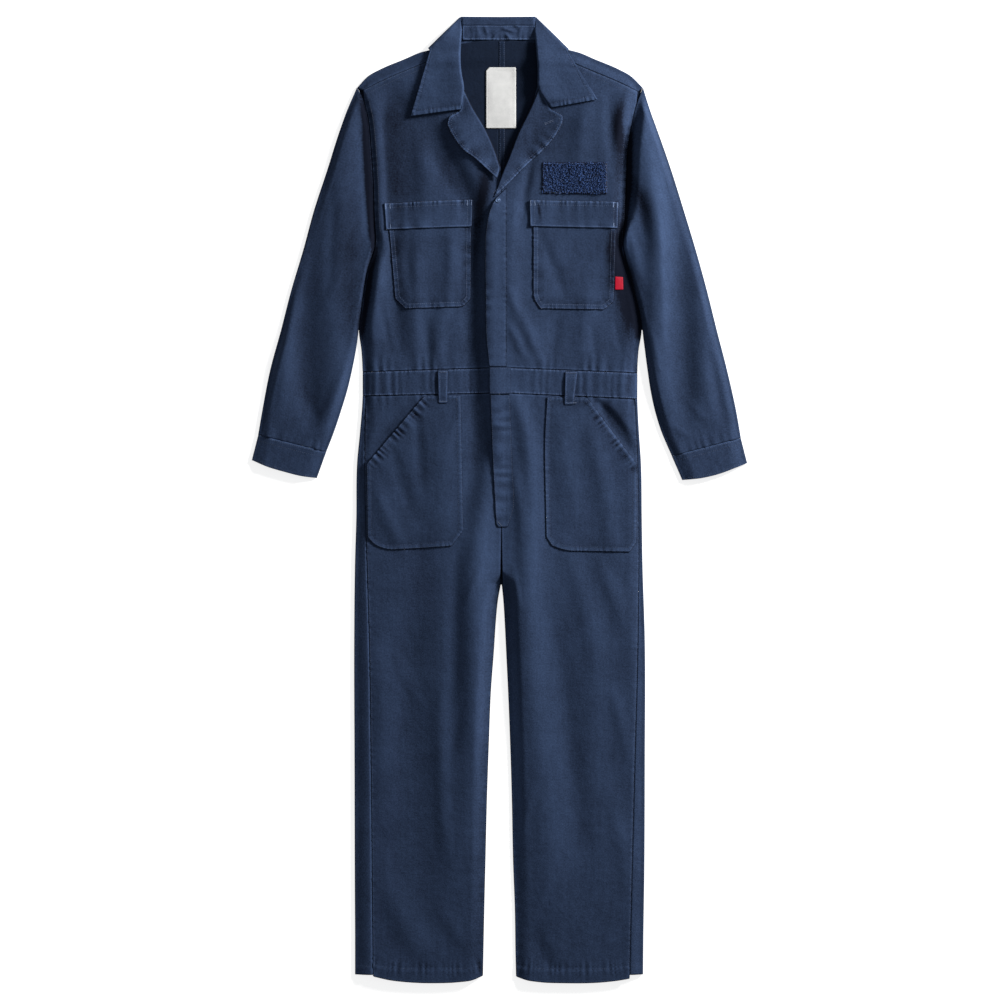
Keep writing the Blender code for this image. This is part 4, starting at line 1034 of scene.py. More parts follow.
def turning(name: str, seam: Array, height: float, rests_on: str) -> None:
    """Make the narrow turning inside a seam, between the front and the back.

    Args:
        name: its name.
        seam: points of the seam in plan.
        height: height of its middle above the surface.
        rests_on: what lies under it.
    """
    seam = resampled(seam, 4.0)
    outline = np.concatenate((shifted(seam, 5.4), shifted(seam, -5.4)[::-1]))
    piece = FlatCloth(name, rounded(outline), lambda x, y: height + 0.0 * x, -0.3, 0.6, 3.0,
                      drop=0.2, worn=0.0, rings=(1.4,), cut=(11.0, float(marks(seam)[-1]) + 1.0))
    # its cloth is the inner twill, painted darker as in shade
    piece.make(FINISH.inner, None, rests_on)


# ---------------------------------------------------------------- finishes
Socket = bpy.types.NodeSocket
Value = Socket | float | Sequence[float]


class NodeKit:
    """Adds and joins shader nodes of one material."""

    def __init__(self, name: str) -> None:
        """Start a material with an empty Principled surface.

        Args:
            name: the material's name.
        """
        self.material = bpy.data.materials.new(name)
        self.material.use_nodes = True
        self.tree = self.material.node_tree
        self.shader = self.tree.nodes["Principled BSDF"]

    def node(self, kind: str, inputs: dict[int | str, Value] | None = None,
             **settings: str | bool) -> bpy.types.Node:
        """Add a node.

        Args:
            kind: the node's type, without its ShaderNode prefix.
            inputs: values or sockets for the named or numbered inputs.
            **settings: the node's own properties.

        Returns:
            The new node.
        """
        made = self.tree.nodes.new("ShaderNode" + kind)
        for name, value in settings.items():
            setattr(made, name, value)
        for key, value in (inputs or {}).items():
            if isinstance(value, bpy.types.NodeSocket):
                self.tree.links.new(value, made.inputs[key])
            else:
                made.inputs[key].default_value = value
        return made

    def math(self, operation: str, first: Value, second: Value = 0.0, clamp: bool = False) -> Socket:
        """Add a sum, product or other operation on two values, held from 0 to 1 if clamped."""
        return self.node("Math", {0: first, 1: second}, operation=operation, use_clamp=clamp).outputs[0]

    def fade(self) -> Socket:
        """The piece's tone at each point: wear, its own tone, painted light and painted shade."""
        return self.node("Attribute", attribute_name="fade").outputs["Fac"]

    def cut_position(self, down: float = 1000.0, turn: float = 0.0) -> Socket:
        """The piece's cut position in millimetres, turned by some degrees and stretched if asked.

        Args:
            down: scale down the cloth, from metres.
            turn: turn in degrees.

        Returns:
            The position.
        """
        place = self.node("UVMap", uv_map="cut").outputs[0]
        return self.node("Mapping", {0: place, 2: (0.0, 0.0, math.radians(turn)),
                                     3: (1000.0, down, 1000.0)}).outputs[0]

    def noise(self, vector: Socket, scale: float, detail: float = 3.0) -> Socket:
        """A noise value about 0.5."""
        return self.node("TexNoise", {"Vector": vector, "Scale": scale, "Detail": detail}).outputs[0]

    def mottling(self, scale: float, detail: float = 2.0) -> Socket:
        """A noise value through the piece's own space."""
        return self.noise(self.node("TexCoord").outputs["Object"], scale, detail)

    def bump(self, height: Socket, strength: float, distance: float,
             normal: Socket | None = None) -> Socket:
        """Add relief from a height value.

        Args:
            height: the height value.
            strength: share of the relief that shows.
            distance: its depth in metres.
            normal: relief that it is added to, if any.

        Returns:
            The relief.
        """
        inputs = {"Height": height, "Strength": strength, "Distance": distance}
        if normal is not None:
            inputs["Normal"] = normal
        return self.node("Bump", inputs).outputs[0]

    def surface(self, **values: Value) -> None:
        """Set or join the surface's inputs.

        Args:
            **values: a value or socket for each input, named with its spaces as underscores.
        """
        for name, value in values.items():
            socket = self.shader.inputs[name.replace("_", " ")]
            if isinstance(value, bpy.types.NodeSocket):
                self.tree.links.new(value, socket)
            else:
                socket.default_value = value


@dataclass(frozen=True)
class Finish:
    """A finish: its name, the slot of the part that it dresses, and its two main colours."""

    name: str
    slot: str
    deep: Colour
    light: Colour

    def material(self) -> bpy.types.Material:
        """The finish's material, made when it is first asked for.

        Returns:
            The material.
        """
        made = bpy.data.materials.get(self.name)
        if made is None:
            kit = NodeKit(self.name)
            self.dress(kit)
            made = kit.material
        return made

    def dress(self, kit: NodeKit) -> None:
        """Fill a new material, as each kind of finish does in its own way."""
        raise NotImplementedError

    def blend(self, kit: NodeKit, tone: Socket) -> Socket:
        """The deep colour where the tone is 0, and the light one where it is 1."""
        return kit.node("Mix", {0: tone, 6: (*self.deep, 1.0), 7: (*self.light, 1.0)},
                        data_type="RGBA").outputs[2]


@dataclass(frozen=True)
class Twill(Finish):
    """Cotton twill, dyed navy and washed: diagonal ribs, soft mottling and worn edges."""

    rib_pitch: float = 1.05
    rib_turn: float = 28.0
    depth: float = 0.00022

    def dress(self, kit: NodeKit) -> None:
        """Ribs and yarns in relief, and a colour paler on worn edges and on crests in painted light, darker
        in painted shade.

        Args:
            kit: the nodes of the new material.
        """
        plain = kit.cut_position()
        blotch, cloudy = kit.noise(plain, 0.022, 4.0), kit.noise(plain, 0.09)
        streak, grain = kit.noise(kit.cut_position(110.0), 0.16, 2.0), kit.noise(plain, 0.38, 2.0)
        ribs = kit.node("TexWave", {"Vector": kit.cut_position(turn=self.rib_turn),
                                    "Scale": 0.314 / self.rib_pitch, "Distortion": 0.6,
                                    "Detail": 1.0, "Detail Scale": 3.0}).outputs["Fac"]
        tone = kit.math("MULTIPLY", kit.fade(), 0.55)
        for value, share in ((blotch, 0.16), (cloudy, 0.10), (streak, 0.10), (grain, 0.32), (ribs, 0.07)):
            centred = kit.math("SUBTRACT", value, 0.5)
            tone = kit.math("ADD", tone, kit.math("MULTIPLY", centred, share))
        yarns = kit.bump(kit.noise(plain, 1.6, 2.0), 0.35, 0.0003)
        slack = kit.bump(cloudy, 0.16, 0.004, kit.bump(ribs, 0.55, self.depth, yarns))
        kit.surface(Base_Color=self.blend(kit, kit.math("ADD", tone, 0.24, True)), Roughness=0.86,
                    Specular_IOR_Level=0.06, Sheen_Weight=0.02, Sheen_Roughness=0.45,
                    Sheen_Tint=(0.55, 0.72, 1.0, 1.0), Normal=slack)


@dataclass(frozen=True)
class SewingThread(Finish):
    """Twisted sewing thread, a little lighter than the cloth."""

    def dress(self, kit: NodeKit) -> None:
        """A fine uneven tone along the thread."""
        kit.surface(Base_Color=self.blend(kit, kit.mottling(900.0)), Roughness=0.6,
                    Specular_IOR_Level=0.35, Sheen_Weight=0.1)


@dataclass(frozen=True)
class LoopPile(Finish):
    """Looped nylon pile: deep blue, with painted light making each loop's top paler."""

    def dress(self, kit: NodeKit) -> None:
        """Tone from each loop's own tone and painted light by its height, and a fine mottling.

        Args:
            kit: the nodes of the new material.
        """
        tone = kit.math("ADD", kit.fade(), kit.math("MULTIPLY", kit.mottling(420.0), 0.5))
        kit.surface(Base_Color=self.blend(kit, kit.math("SUBTRACT", tone, 0.18, True)), Roughness=0.55,
                    Specular_IOR_Level=0.15, Sheen_Weight=0.05, Sheen_Roughness=0.4,
                    Sheen_Tint=(0.6, 0.75, 1.0, 1.0))


@dataclass(frozen=True)
class Tape(Finish):
    """Closely woven tape or label satin, bare."""

    pitch: float = 0.7

    def dress(self, kit: NodeKit) -> None:
        """A fine crosswise weave and faint soiling.

        Args:
            kit: the nodes of the new material.
        """
        plain = kit.cut_position()
        weave = kit.node("TexWave", {"Vector": plain, "Scale": 0.314 / self.pitch},
                         bands_direction="Y").outputs["Fac"]
        tone = kit.math("ADD", kit.math("MULTIPLY", kit.noise(plain, 0.08), 0.5),
                        kit.math("MULTIPLY", weave, 0.18))
        tone = kit.math("ADD", tone, kit.math("MULTIPLY", kit.fade(), 0.4))
        kit.surface(Base_Color=self.blend(kit, kit.math("ADD", tone, 0.28, True)), Roughness=0.55,
                    Specular_IOR_Level=0.08, Normal=kit.bump(weave, 0.4, 0.00012))


@dataclass(frozen=True)
class DarkMetal(Finish):
    """Painted snap cap, mottled in colour and roughness."""

    def dress(self, kit: NodeKit) -> None:
        """Metal with uneven roughness.

        Args:
            kit: the nodes of the new material.
        """
        tone = kit.mottling(1200.0, 3.0)
        rough = kit.math("ADD", kit.math("MULTIPLY", tone, 0.2), 0.42)
        kit.surface(Base_Color=self.blend(kit, tone), Metallic=0.5, Roughness=rough,
                    Specular_IOR_Level=0.05)


@dataclass(frozen=True)
class Finishes:
    """Every finish of the suit."""

    twill: Twill = Twill("washed_navy_twill", "navy_twill", (0.0012, 0.0024, 0.0074),
                         (0.056, 0.095, 0.197))
    # the inside of the twill: darker than its face, and painted darker still as it looks in shade; also the
    # turnings' cloth
    inner: Twill = Twill("inner_navy_twill", "navy_twill", (0.0018, 0.0032, 0.0078),
                         (0.011, 0.0225, 0.052))
    thread: SewingThread = SewingThread("navy_thread", "navy_twill", (0.020, 0.032, 0.066),
                                        (0.064, 0.098, 0.185))
    # the same thread painted darker, standing in for shade along the seams it sews
    painted_shade_thread: SewingThread = SewingThread("dull_thread", "navy_twill", (0.010, 0.016, 0.034),
                                      (0.028, 0.046, 0.092))
    tack: SewingThread = SewingThread("light_thread", "navy_twill", (0.070, 0.105, 0.190),
                                      (0.170, 0.240, 0.390))
    pile: LoopPile = LoopPile("blue_loop_pile", "loop_pile", (0.0012, 0.0034, 0.014),
                              (0.038, 0.086, 0.250))
    red: Tape = Tape("red_tape_weave", "red_tape", (0.14, 0.001, 0.007), (0.30, 0.003, 0.019))
    white: Tape = Tape("label_satin", "white_tape", (0.26, 0.265, 0.27), (0.49, 0.49, 0.485))
    metal: DarkMetal = DarkMetal("rubbed_snap", "dark_metal", (0.020, 0.034, 0.070),
                                 (0.120, 0.180, 0.310))


FINISH = Finishes()


# ---------------------------------------------------------------- stitching
@dataclass
class Stitching:
    """Machine stitches of one group of seams, gathered into one mesh.

    Sizes are in millimetres: pitch is from one stitch to the next, and bite is how far a
    stitch's ends sink into the cloth.
    """

    name: str
    pitch: float = 3.4
    length: float = 2.7
    width: float = 0.62
    height: float = 0.34
    bite: float = 0.16
    points: list[Array] = field(default_factory=list)

    def lay(self, line: Points, top: Height, pitch: float | None = None,
            length: float | None = None) -> None:
        """Sew along a line on a surface.

        Args:
            line: points of the seam in plan.
            top: height of the surface that is sewn.
            pitch: distance from stitch to stitch, if not the usual one.
            length: length of a stitch, if not the usual one.
        """
        pitch = pitch or self.pitch
        length = length or self.length
        run = marks(line)[-1]
        count = max(1, int(run / pitch))
        middle = (np.arange(count) + 0.5) / count
        half = length / 2 / run
        self.between(along(line, middle - half), along(line, middle + half), top)

    def between(self, start: Array, end: Array, top: Height, raised: float = 0.0) -> None:
        """Add stitches.

        Args:
            start: where each of them starts, in plan.
            end: where each of them ends.
            top: height of the surface that is sewn.
            raised: how far their middles stand above it.
        """
        lows = np.column_stack((start, top(*start.T) - self.bite))
        highs = np.column_stack((end, top(*end.T) - self.bite))
        centre = (start + end) / 2
        centre = np.column_stack((centre, top(*centre.T) + raised))
        across = np.column_stack((leftwards(end - start), np.zeros(len(start)))) * self.width / 2
        up = np.array((0.0, 0.0, self.height))
        self.points.append(np.stack((lows, centre + across, centre + up, centre - across,
                                     centre - up, highs), axis=1))

    def tack(self, start: Sequence[float], end: Sequence[float], top: Height, width: float = 2.0) -> None:
        """Sew a bar tack: close zigzag stitches across a short line."""
        line = resampled(np.array((start, end), float), 0.55)
        self.between(shifted(line, -width / 2), shifted(line, width / 2), top, 0.12)

    def build(self, finish: Finish) -> None:
        """Make all the stitches as one piece.

        Args:
            finish: the thread's finish.
        """
        points = np.concatenate(self.points)
        shape = np.array(((0, 2, 1), (0, 3, 2), (0, 4, 3), (0, 1, 4),
                          (5, 1, 2), (5, 2, 3), (5, 3, 4), (5, 4, 1)))
        faces = (np.arange(len(points))[:, None, None] * 6 + shape[None]).reshape(-1, 3)
        points = points.reshape(-1, 3)
        made = mesh_object(self.name, points, faces, points[faces.ravel(), :2] * MM,
                           np.zeros(len(points)))
        finish_piece(made, finish)


# ---------------------------------------------------------------- pieces made as grids
def joined_grids(name: str, grids: Sequence[Grid]) -> bpy.types.Object:
    """Make one sheet from several grids of points that share their edges.

    Args:
        name: name of the piece.
        grids: its grids.

    Returns:
        The new object, its shared edges merged.
    """
    points, faces, uvs, tones_and_painted_light, start = [], [], [], [], 0
    for place, uv, fade, turned in grids:
        corners = quads(numbered(*place.shape[:2]), turned)
        points.append(place.reshape(-1, 3))
        faces.append(corners + start)
        uvs.append(uv.reshape(-1, 2)[corners.ravel()])
        tones_and_painted_light.append(np.broadcast_to(fade, place.shape[:2]).ravel())
        start += len(points[-1])
    made = mesh_object(name, np.concatenate(points), np.concatenate(faces), np.concatenate(uvs),
                       np.clip(np.concatenate(tones_and_painted_light), -1, 1))
    bm = bmesh.new()
    bm.from_mesh(made.data)
    bmesh.ops.remove_doubles(bm, verts=bm.verts[:], dist=2e-6)
    bm.to_mesh(made.data)
    bm.free()
    made.data.shade_smooth()
    return made


def finish_grids(made: bpy.types.Object, node: str, thickness: float = CLOTH,
                 held: Held = Held.FOLDED, lined: bool = False) -> None:
    """Give a piece made as grids its wall and its twill.

    Args:
        made: the piece, whose grids are the middle of its wall.
        node: the part's node that it stands for, which is all that it rests on.
        thickness: its thickness in millimetres.
        held: how it is held; not used.
        lined: whether its inner face has the inner finish.
    """
    give_thickness(made, thickness, inner=int(lined))
    finish_piece(made, FINISH.twill, node)
    if lined:
        made.data.materials.append(FINISH.inner.material())


def half_turn(steps: int) -> tuple[Array, Array]:
    """Reach and rise round a fold's half circle, from its lower layer to its upper one."""
    angle = np.linspace(0.0, math.pi, steps + 1)
    return FOLD_RADIUS * np.sin(angle), FOLD_RADIUS * (1 - np.cos(angle))


def level(number: int) -> float:
    """Height of a piece's lower face above the middle of the front, by its layer."""
    return CLOTH / 2 + SEAT + (number - 1) * (CLOTH + SEAT)


def ease_ends(count: int, dense: float = 0.75) -> Array:
    """Shares from 0 to 1 that lie closer together near both ends."""
    even = np.linspace(0.0, 1.0, count + 1)
    return (1 - dense) * even + dense * (0.5 - 0.5 * np.cos(np.pi * even))


@dataclass
class Flattened:
    """A tube of cloth pressed flat: a front, a back and two folded edges.

    Sizes are in millimetres.
    """

    radius: float = FOLD_RADIUS
    thickness: float = CLOTH
    fold_steps: int = 8
    middle: float = BACK_MID

    def rings(self, front: Array, back: Array, top: Callable[[Array, Array, Array], Array],
              under: Height) -> tuple[Array, Array]:
        """Closed cross-sections of the tube, one for each row.

        Args:
            front: rows, columns and (x, y) of the front, from its inner folded edge to its outer.
            back: the same of the back.
            top: height of the front above the surface, from x, y and distance to the nearer edge.
            under: height of the back above its lowest place.

        Returns:
            Rows, columns and (x, y, z) with the last column equal to the first, and the same
            points' places on the cloth unrolled about the outer edge, in metres.
        """
        first, last = front[:, :1], front[:, -1:]
        inward = last - first
        inward = inward / np.linalg.norm(inward, axis=2, keepdims=True)
        angle = np.linspace(math.pi / 2, -math.pi / 2, self.fold_steps + 1)
        off = (self.radius + self.thickness / 2 - self.radius * np.cos(angle))[None, :, None]
        z = np.broadcast_to(self.middle + self.radius * (1 + np.sin(angle)),
                            (len(front), len(angle)))
        first_arc = np.dstack((first + inward * off, z))[:, ::-1]
        last_arc = np.dstack((last - inward * off, z))
        middle = front[:, 1:-1]
        reach = np.minimum(np.linalg.norm(middle - first, axis=2), np.linalg.norm(middle - last, axis=2))
        upper = np.dstack((middle, top(middle[..., 0], middle[..., 1], reach)))
        rear = back[:, 1:-1][:, ::-1]
        lower = np.dstack((rear, self.middle + under(rear[..., 0], rear[..., 1])))
        points = np.concatenate((first_arc, upper, last_arc, lower, first_arc[:, :1]), axis=1)
        down = unit(front[-1, -1] - front[0, -1])
        steps = np.diff(points, axis=1)
        run = summed(np.hypot(steps[..., 0] * down[1] - steps[..., 1] * down[0], steps[..., 2]))
        outer = first_arc.shape[1] + upper.shape[1] + last_arc.shape[1] // 2
        along_edge = (points[..., :2] - front[0, -1]) @ down
        return points, np.dstack((run - run[:, outer:outer + 1], -along_edge)) * MM


# ---------------------------------------------------------------- body
@dataclass
class Bodice:
    """The body above the waist: two fronts, and two backs carried over the shoulders."""

    sewing: Stitching
    spacing: float = 3.2
    back_columns: int = 54
    back_step: float = 6.5
    fold_steps: int = 8
    strap_steps: int = 12
    slope: tuple[float, float] = (0.4, 0.92)
    armhole_top: float = 1460.0
    gathered_to: float = 1470.0
    neck_from: float = 118.0
    neck_to: float = 103.0

    def outline(self, side: Side) -> Array:
        """Outline of a front, from the foot of the centre edge round by the armhole.

        Args:
            side: the wearer's side.

        Returns:
            The outline.
        """
        body_side = section(BODY[side], WAIST_TOP - 8.0, ARMPIT)[:-1]
        armhole = section(BODY[side], ARMPIT, self.armhole_top)
        line = np.concatenate(([(side.value * CENTRE, WAIST_TOP), WAIST_END[side]],
                               body_side[::-1][1:], armhole[::-1][1:], flowing(STRAP[side]),
                               NECKLINE[side], flowing(ROLL[side])))
        return rounded(mirrored(side, line))

    def front(self, side: Side) -> None:
        """A front, gathered a little where it is sewn.

        Args:
            side: the wearer's side.
        """
        waist = resampled(mirrored(side, [(side.value * CENTRE, WAIST_TOP), WAIST_END[side]]), 20)
        armhole = mirrored(side, section(BODY[side], ARMPIT, self.gathered_to))
        strap = mirrored(side, flowing(STRAP[side]))
        seed = 1.0 + side.value
        piece = FlatCloth("front_" + side.word, self.outline(side), spacing=self.spacing, puckers=(
            Pucker(waist, 17.0, 0.8, 20.0, 4.0 + side.value, grows=190.0),
            Pucker(waist, 8.0, 0.2, 5.0, seed + 2), Pucker(armhole, 15.0, 0.35, 8.0, seed + 3),
            Pucker(strap, 11.0, 0.22, 6.0, seed + 5)))
        piece.make(FINISH.twill, "bodice_front_" + side.word, "bodice_back_" + side.word)
        for off in (2.0, 8.5):
            self.sewing.lay(shifted(strap, side.value * off), self.shoulder_top)
            self.sewing.lay(shifted(armhole, side.value * -off)[2:-2], piece.top)

    def shoulder_top(self, x: Array, y: Array) -> Array:
        """Upper face of the strip that the back carries over the shoulder."""
        return RELIEF.front(x, y) + CLOTH / 2

    def back(self, side: Side) -> None:
        """A back half: flat behind, and over the shoulder's fold to the seam in front.

        Args:
            side: the wearer's side.
        """
        slope = np.array(self.slope)
        share = np.linspace(0.0, 1.0, self.back_columns + 1)
        heights = np.arange(BACK_WAIST_TOP + SEAT, SHOULDER_TIP - 4.0, self.back_step)
        outer = at_height(BODY[side], heights) - SEAT
        flat = np.dstack((SEAT + (outer[:, None] - SEAT) * share,
                          np.repeat(heights[:, None], len(share), axis=1)))
        tip = (float(at_height(BODY[side], SHOULDER_TIP)) - GAP, SHOULDER_TIP)
        edge = flowing([tip] + [tuple(row) for row in SHOULDER[1:]], 3.0)
        seam = along(flowing(STRAP[side]), marks(edge) / marks(edge)[-1])
        foot = edge - slope * FOLD_REACH
        neck = smooth((self.neck_from - edge[:, 0]) / (self.neck_from - self.neck_to))
        centre_top = foot[:, 1] + (NECK_SEAM - foot[:, 1]) * neck
        top = np.dstack((SEAT + (foot[:, :1] - SEAT) * share,
                         centre_top[:, None] + (foot[:, 1:] - centre_top[:, None]) * share ** 2))
        plan = np.concatenate((flat, top))
        plan[..., 0] *= side.value
        x, y = plan[..., 0], plan[..., 1]
        z = RELIEF.back(x, y) + RELIEF.under(x, y)
        # painted light: the back's creases paler where they lift
        flat_grid = (np.dstack((x, y, z)), plan * MM, 0.05 * RELIEF.under(x, y),
                     side is Side.LEFT)
        base = RELIEF.back(side.value * foot[:, 0], foot[:, 1])[:, None]
        reach, rise = half_turn(self.fold_steps)
        arc = np.dstack((foot[:, :1] + slope[0] * reach, foot[:, 1:] + slope[1] * reach, base + rise))
        t = np.linspace(0.0, 1.0, self.strap_steps + 1)[1:]
        end = seam + slope * SEAT
        strip = foot[:, None] + (end - foot)[:, None] * t[None, :, None]
        away = np.linalg.norm(end - foot, axis=1)[:, None] * t
        height = RELIEF.front(side.value * strip[..., 0], strip[..., 1])
        height = base + LAYER + (height - base - LAYER) * smooth(away / 12.0)
        to_seam = np.linalg.norm(end - foot, axis=1)[:, None] - away
        run = marks(seam)[:, None]
        height = height + 0.2 * ripple(run, 11.0, 6.0 + side.value) * bell(to_seam, 6.0)
        height = height - 0.35 * np.clip(1 - to_seam / 1.5, 0, 1)
        wrap = np.concatenate((arc, np.dstack((strip, height))), axis=1)
        cut = (foot[:, None] + slope * row_marks(wrap)[..., None]) * (side.value, 1.0) * MM
        wrap = wrap * (side.value, 1.0, 1.0)
        fade = np.concatenate((np.zeros(arc.shape[:2]), 0.25 * bell(to_seam, 2.0)), axis=1)
        grids = [flat_grid, (wrap, cut, fade, side is Side.LEFT)]
        made = joined_grids("back_" + side.word, grids)
        finish_grids(made, "bodice_back_" + side.word, lined=True)

    def build(self) -> None:
        """Make the fronts and backs."""
        for side in SIDES:
            self.front(side)
            self.back(side)


# ---------------------------------------------------------------- sleeves
SLEEVE_OUTER = {
    Side.RIGHT: [(236.5, 1487.0), (253.0, 1449.0), (265.0, 1416.0), (286.0, 1350.0),
                 (308.0, 1283.0), (326.0, 1217.0), (346.0, 1150.0), (363.0, 1084.0),
                 (381.0, 1018.0), (394.0, 951.0), (401.0, 909.7)],
    Side.LEFT: [(238.0, 1487.0), (250.0, 1449.0), (262.0, 1416.0), (285.0, 1350.0),
                (306.0, 1283.0), (326.0, 1217.0), (344.5, 1150.0), (361.0, 1084.0),
                (378.0, 1018.0), (393.0, 951.0), (401.0, 904.7)],
}
SLEEVE_INNER = {
    Side.RIGHT: [(208.5, 1220.0), (222.0, 1178.0), (225.5, 1155.0), (232.0, 1107.0),
                 (237.0, 1062.0), (245.0, 1018.0), (253.0, 984.0), (263.0, 951.0),
                 (275.0, 915.0), (288.0, 881.5)],
    Side.LEFT: [(207.0, 1220.0), (214.6, 1190.0), (223.0, 1155.0), (233.5, 1114.0),
                (240.0, 1064.0), (246.0, 1018.0), (251.0, 984.0), (258.0, 951.0),
                (268.0, 918.0), (286.3, 874.8)],
}
CUFF_END = {
    Side.RIGHT: [(411.5, 868.2), (384.3, 856.6), (356.1, 848.3), (329.5, 841.6), (303.5, 838.3)],
    Side.LEFT: [(411.5, 863.2), (391.0, 855.0), (369.0, 846.6), (336.0, 838.3), (303.5, 835.0)],
}


@dataclass
class Sleeve:
    """A sleeve pressed flat, and its cuff."""

    side: Side
    sewing: Stitching
    rows: int = 118
    front_columns: int = 56
    back_columns: int = 26
    cuff_rows: int = 22
    cuff_columns: int = 60
    gap: float = 0.25
    cuff_thickness: float = 1.5
    cuff_depth: float = 42.0

    def armhole(self) -> Array:
        """The armhole's seam, from the shoulder down."""
        return mirrored(self.side, section(BODY[self.side], ARMPIT, SHOULDER_TIP))

    def cuff_seam(self) -> Array:
        """The outer and inner ends of the cuff's seam, as distances from the centre line."""
        return np.array((SLEEVE_OUTER[self.side][-1], SLEEVE_INNER[self.side][-1]))

    def plan(self, columns: Array, rows: Array) -> Array:
        """Points of the sleeve in plan, from the shoulder to the cuff.

        Args:
            columns: shares across.
            rows: shares down.

        Returns:
            Rows, columns and (x, y).
        """
        armhole = section(BODY[self.side], ARMPIT, SHOULDER_TIP)
        outer, inner = flowing(SLEEVE_OUTER[self.side]), flowing(SLEEVE_INNER[self.side])
        plan = patch(armhole, np.array((outer[-1], inner[-1])), outer, inner, columns, rows)
        plan[0, :, 0] += self.gap
        return plan * (self.side.value, 1.0)

    def seam_lift(self, x: Array, y: Array) -> Array:
        """Gathers along the armhole and above the cuff.

        Args:
            x, y: the points' places in plan.

        Returns:
            The height at each point.
        """
        sign = self.side.value
        cuff = resampled(mirrored(self.side, self.cuff_seam()), 15)
        lift = Pucker(self.armhole(), 17.0, 0.45, 9.0, 2.0 + sign).lift(x, y)
        lift = lift + Pucker(cuff, 15.0, 0.85, 17.0, 4.0 + sign).lift(x, y)
        return lift - 0.4 * bell(nearest(x, y, cuff)[0], 1.4)

    def top(self) -> Callable[[Array, Array, Array], Array]:
        """Height of the sleeve's front, low along the armhole and the folded edges.

        Returns:
            A function of x, y and the distance to the nearer folded edge.
        """
        armhole = self.armhole()

        def height(x: Array, y: Array, reach: Array) -> Array:
            """Height at each point, from its distance to the nearer folded edge.

            Args:
                x, y: the points' places in plan.
                reach: distance to the nearer folded edge.

            Returns:
                The height at each point.
            """
            from_armhole = nearest(x, y, armhole)[0]
            run = 8.0 if self.side is Side.RIGHT else 5.0 + 16.0 * smooth((y - 1240.0) / 50.0)
            edge = smooth(reach / 17.0) * smooth(from_armhole / run)
            rise = RELIEF.rise(x, y, edge) + self.seam_lift(x, y) * smooth(reach / 14.0)
            return BACK_MID + LAYER + rise * smooth(reach / 9.0)
        return height

    def turnings(self) -> None:
        """The turnings of the armhole and of the cuff seam."""
        side, node = self.side, "sleeve_" + self.side.word
        armhole = section(BODY[side], 1084.0, SHOULDER_TIP - 8.0)
        turning("turning_armhole_" + side.word, mirrored(side, armhole), 1.8, node)
        cuff = mirrored(side, along(self.cuff_seam(), (0.03, 0.97)))
        turning("turning_cuff_" + side.word, cuff, 1.85, node)

    def sleeve(self) -> None:
        """The sleeve, from the armhole to the cuff seam."""
        share = np.concatenate((np.linspace(0.0, 0.06, 14)[:-1],
                                np.linspace(0.06, 0.94, self.rows - 28),
                                np.linspace(0.94, 1.0, 16)[1:]))
        front = self.plan(ease_ends(self.front_columns), share)[:, ::-1]
        back = self.plan(ease_ends(self.back_columns), share)[:, ::-1]
        points, cut = Flattened().rings(front, back, self.top(), RELIEF.under)
        # painted light and shade of the creases, on the sleeve's front only
        fade = RELIEF.fade(points[..., 0], points[..., 1]) * (points[..., 2] > 2.5)
        grid = (points, cut, fade, self.side is Side.LEFT)
        finish_grids(tube_object("arm_" + self.side.word, grid), "sleeve_" + self.side.word)

    def cuff_plan(self, columns: Array, rows: Array) -> Array:
        """Points of the cuff in plan, from its seam to its end.

        Args:
            columns: shares across.
            rows: shares down.

        Returns:
            Rows, columns and (x, y).
        """
        top = self.cuff_seam() - (0.0, self.gap)
        return ruled(top, flowing(CUFF_END[self.side]), columns, rows) * (self.side.value, 1.0)

    def cuff_height(self, x: Array, y: Array) -> Array:
        """Middle of the cuff's front, with the gathers of its stitching.

        Args:
            x, y: the points' places in plan.

        Returns:
            The height at each point.
        """
        corners = self.cuff_plan(np.array((0.0, 1.0)), np.array((0.0, 1.0)))
        lines = (corners[0], mirrored(self.side, flowing(CUFF_END[self.side])))
        reach = np.minimum(*(nearest(x, y, corners[:, number])[0] for number in (0, 1)))
        rise = RELIEF.rise(x, y, smooth(reach / CROWN_RUN))
        for number, line in enumerate(lines):
            line = resampled(line, 10.0)
            seed = 3.0 * number + self.side.value
            rise = rise + Pucker(line, 10.0, 0.22, 6.0, seed).lift(x, y)
            rise = rise - (0.5, 0.35)[number] * bell(nearest(x, y, line)[0], 1.2)
        return self.cuff_thickness / 2 + LAYER + rise * smooth(reach / 9.0)

    def cuff(self) -> None:
        """The cuff: a doubled band round the sleeve's end."""
        share = ease_ends(self.cuff_rows, 0.5)
        front = self.cuff_plan(ease_ends(self.cuff_columns, 0.5), share)[:, ::-1]
        back = self.cuff_plan(ease_ends(self.back_columns), share)[:, ::-1]
        tube = Flattened(FOLD_RADIUS, self.cuff_thickness, 8, self.cuff_thickness / 2)
        points, cut = tube.rings(front, back, lambda x, y, reach: self.cuff_height(x, y),
                                 lambda x, y: np.zeros_like(x))
        to_seam = np.minimum(share, 1 - share)[:, None] * self.cuff_depth
        fade = 0.3 * bell(to_seam, 2.0) * np.ones(points.shape[:2])
        grid = (points, cut, fade, self.side is Side.LEFT)
        finish_grids(tube_object("cuff_band_" + self.side.word, grid), "cuff_" + self.side.word,
                     self.cuff_thickness)
        for row in (0.05, 0.2, 0.93):
            line = self.cuff_plan(np.linspace(0.03, 0.97, 30), np.array((0.0, row)))[1]
            self.sewing.lay(line, lambda x, y: self.cuff_height(x, y) + self.cuff_thickness / 2)

    def build(self) -> None:
        """Make the sleeve and its cuff."""
        self.sleeve()
        self.cuff()
        self.turnings()


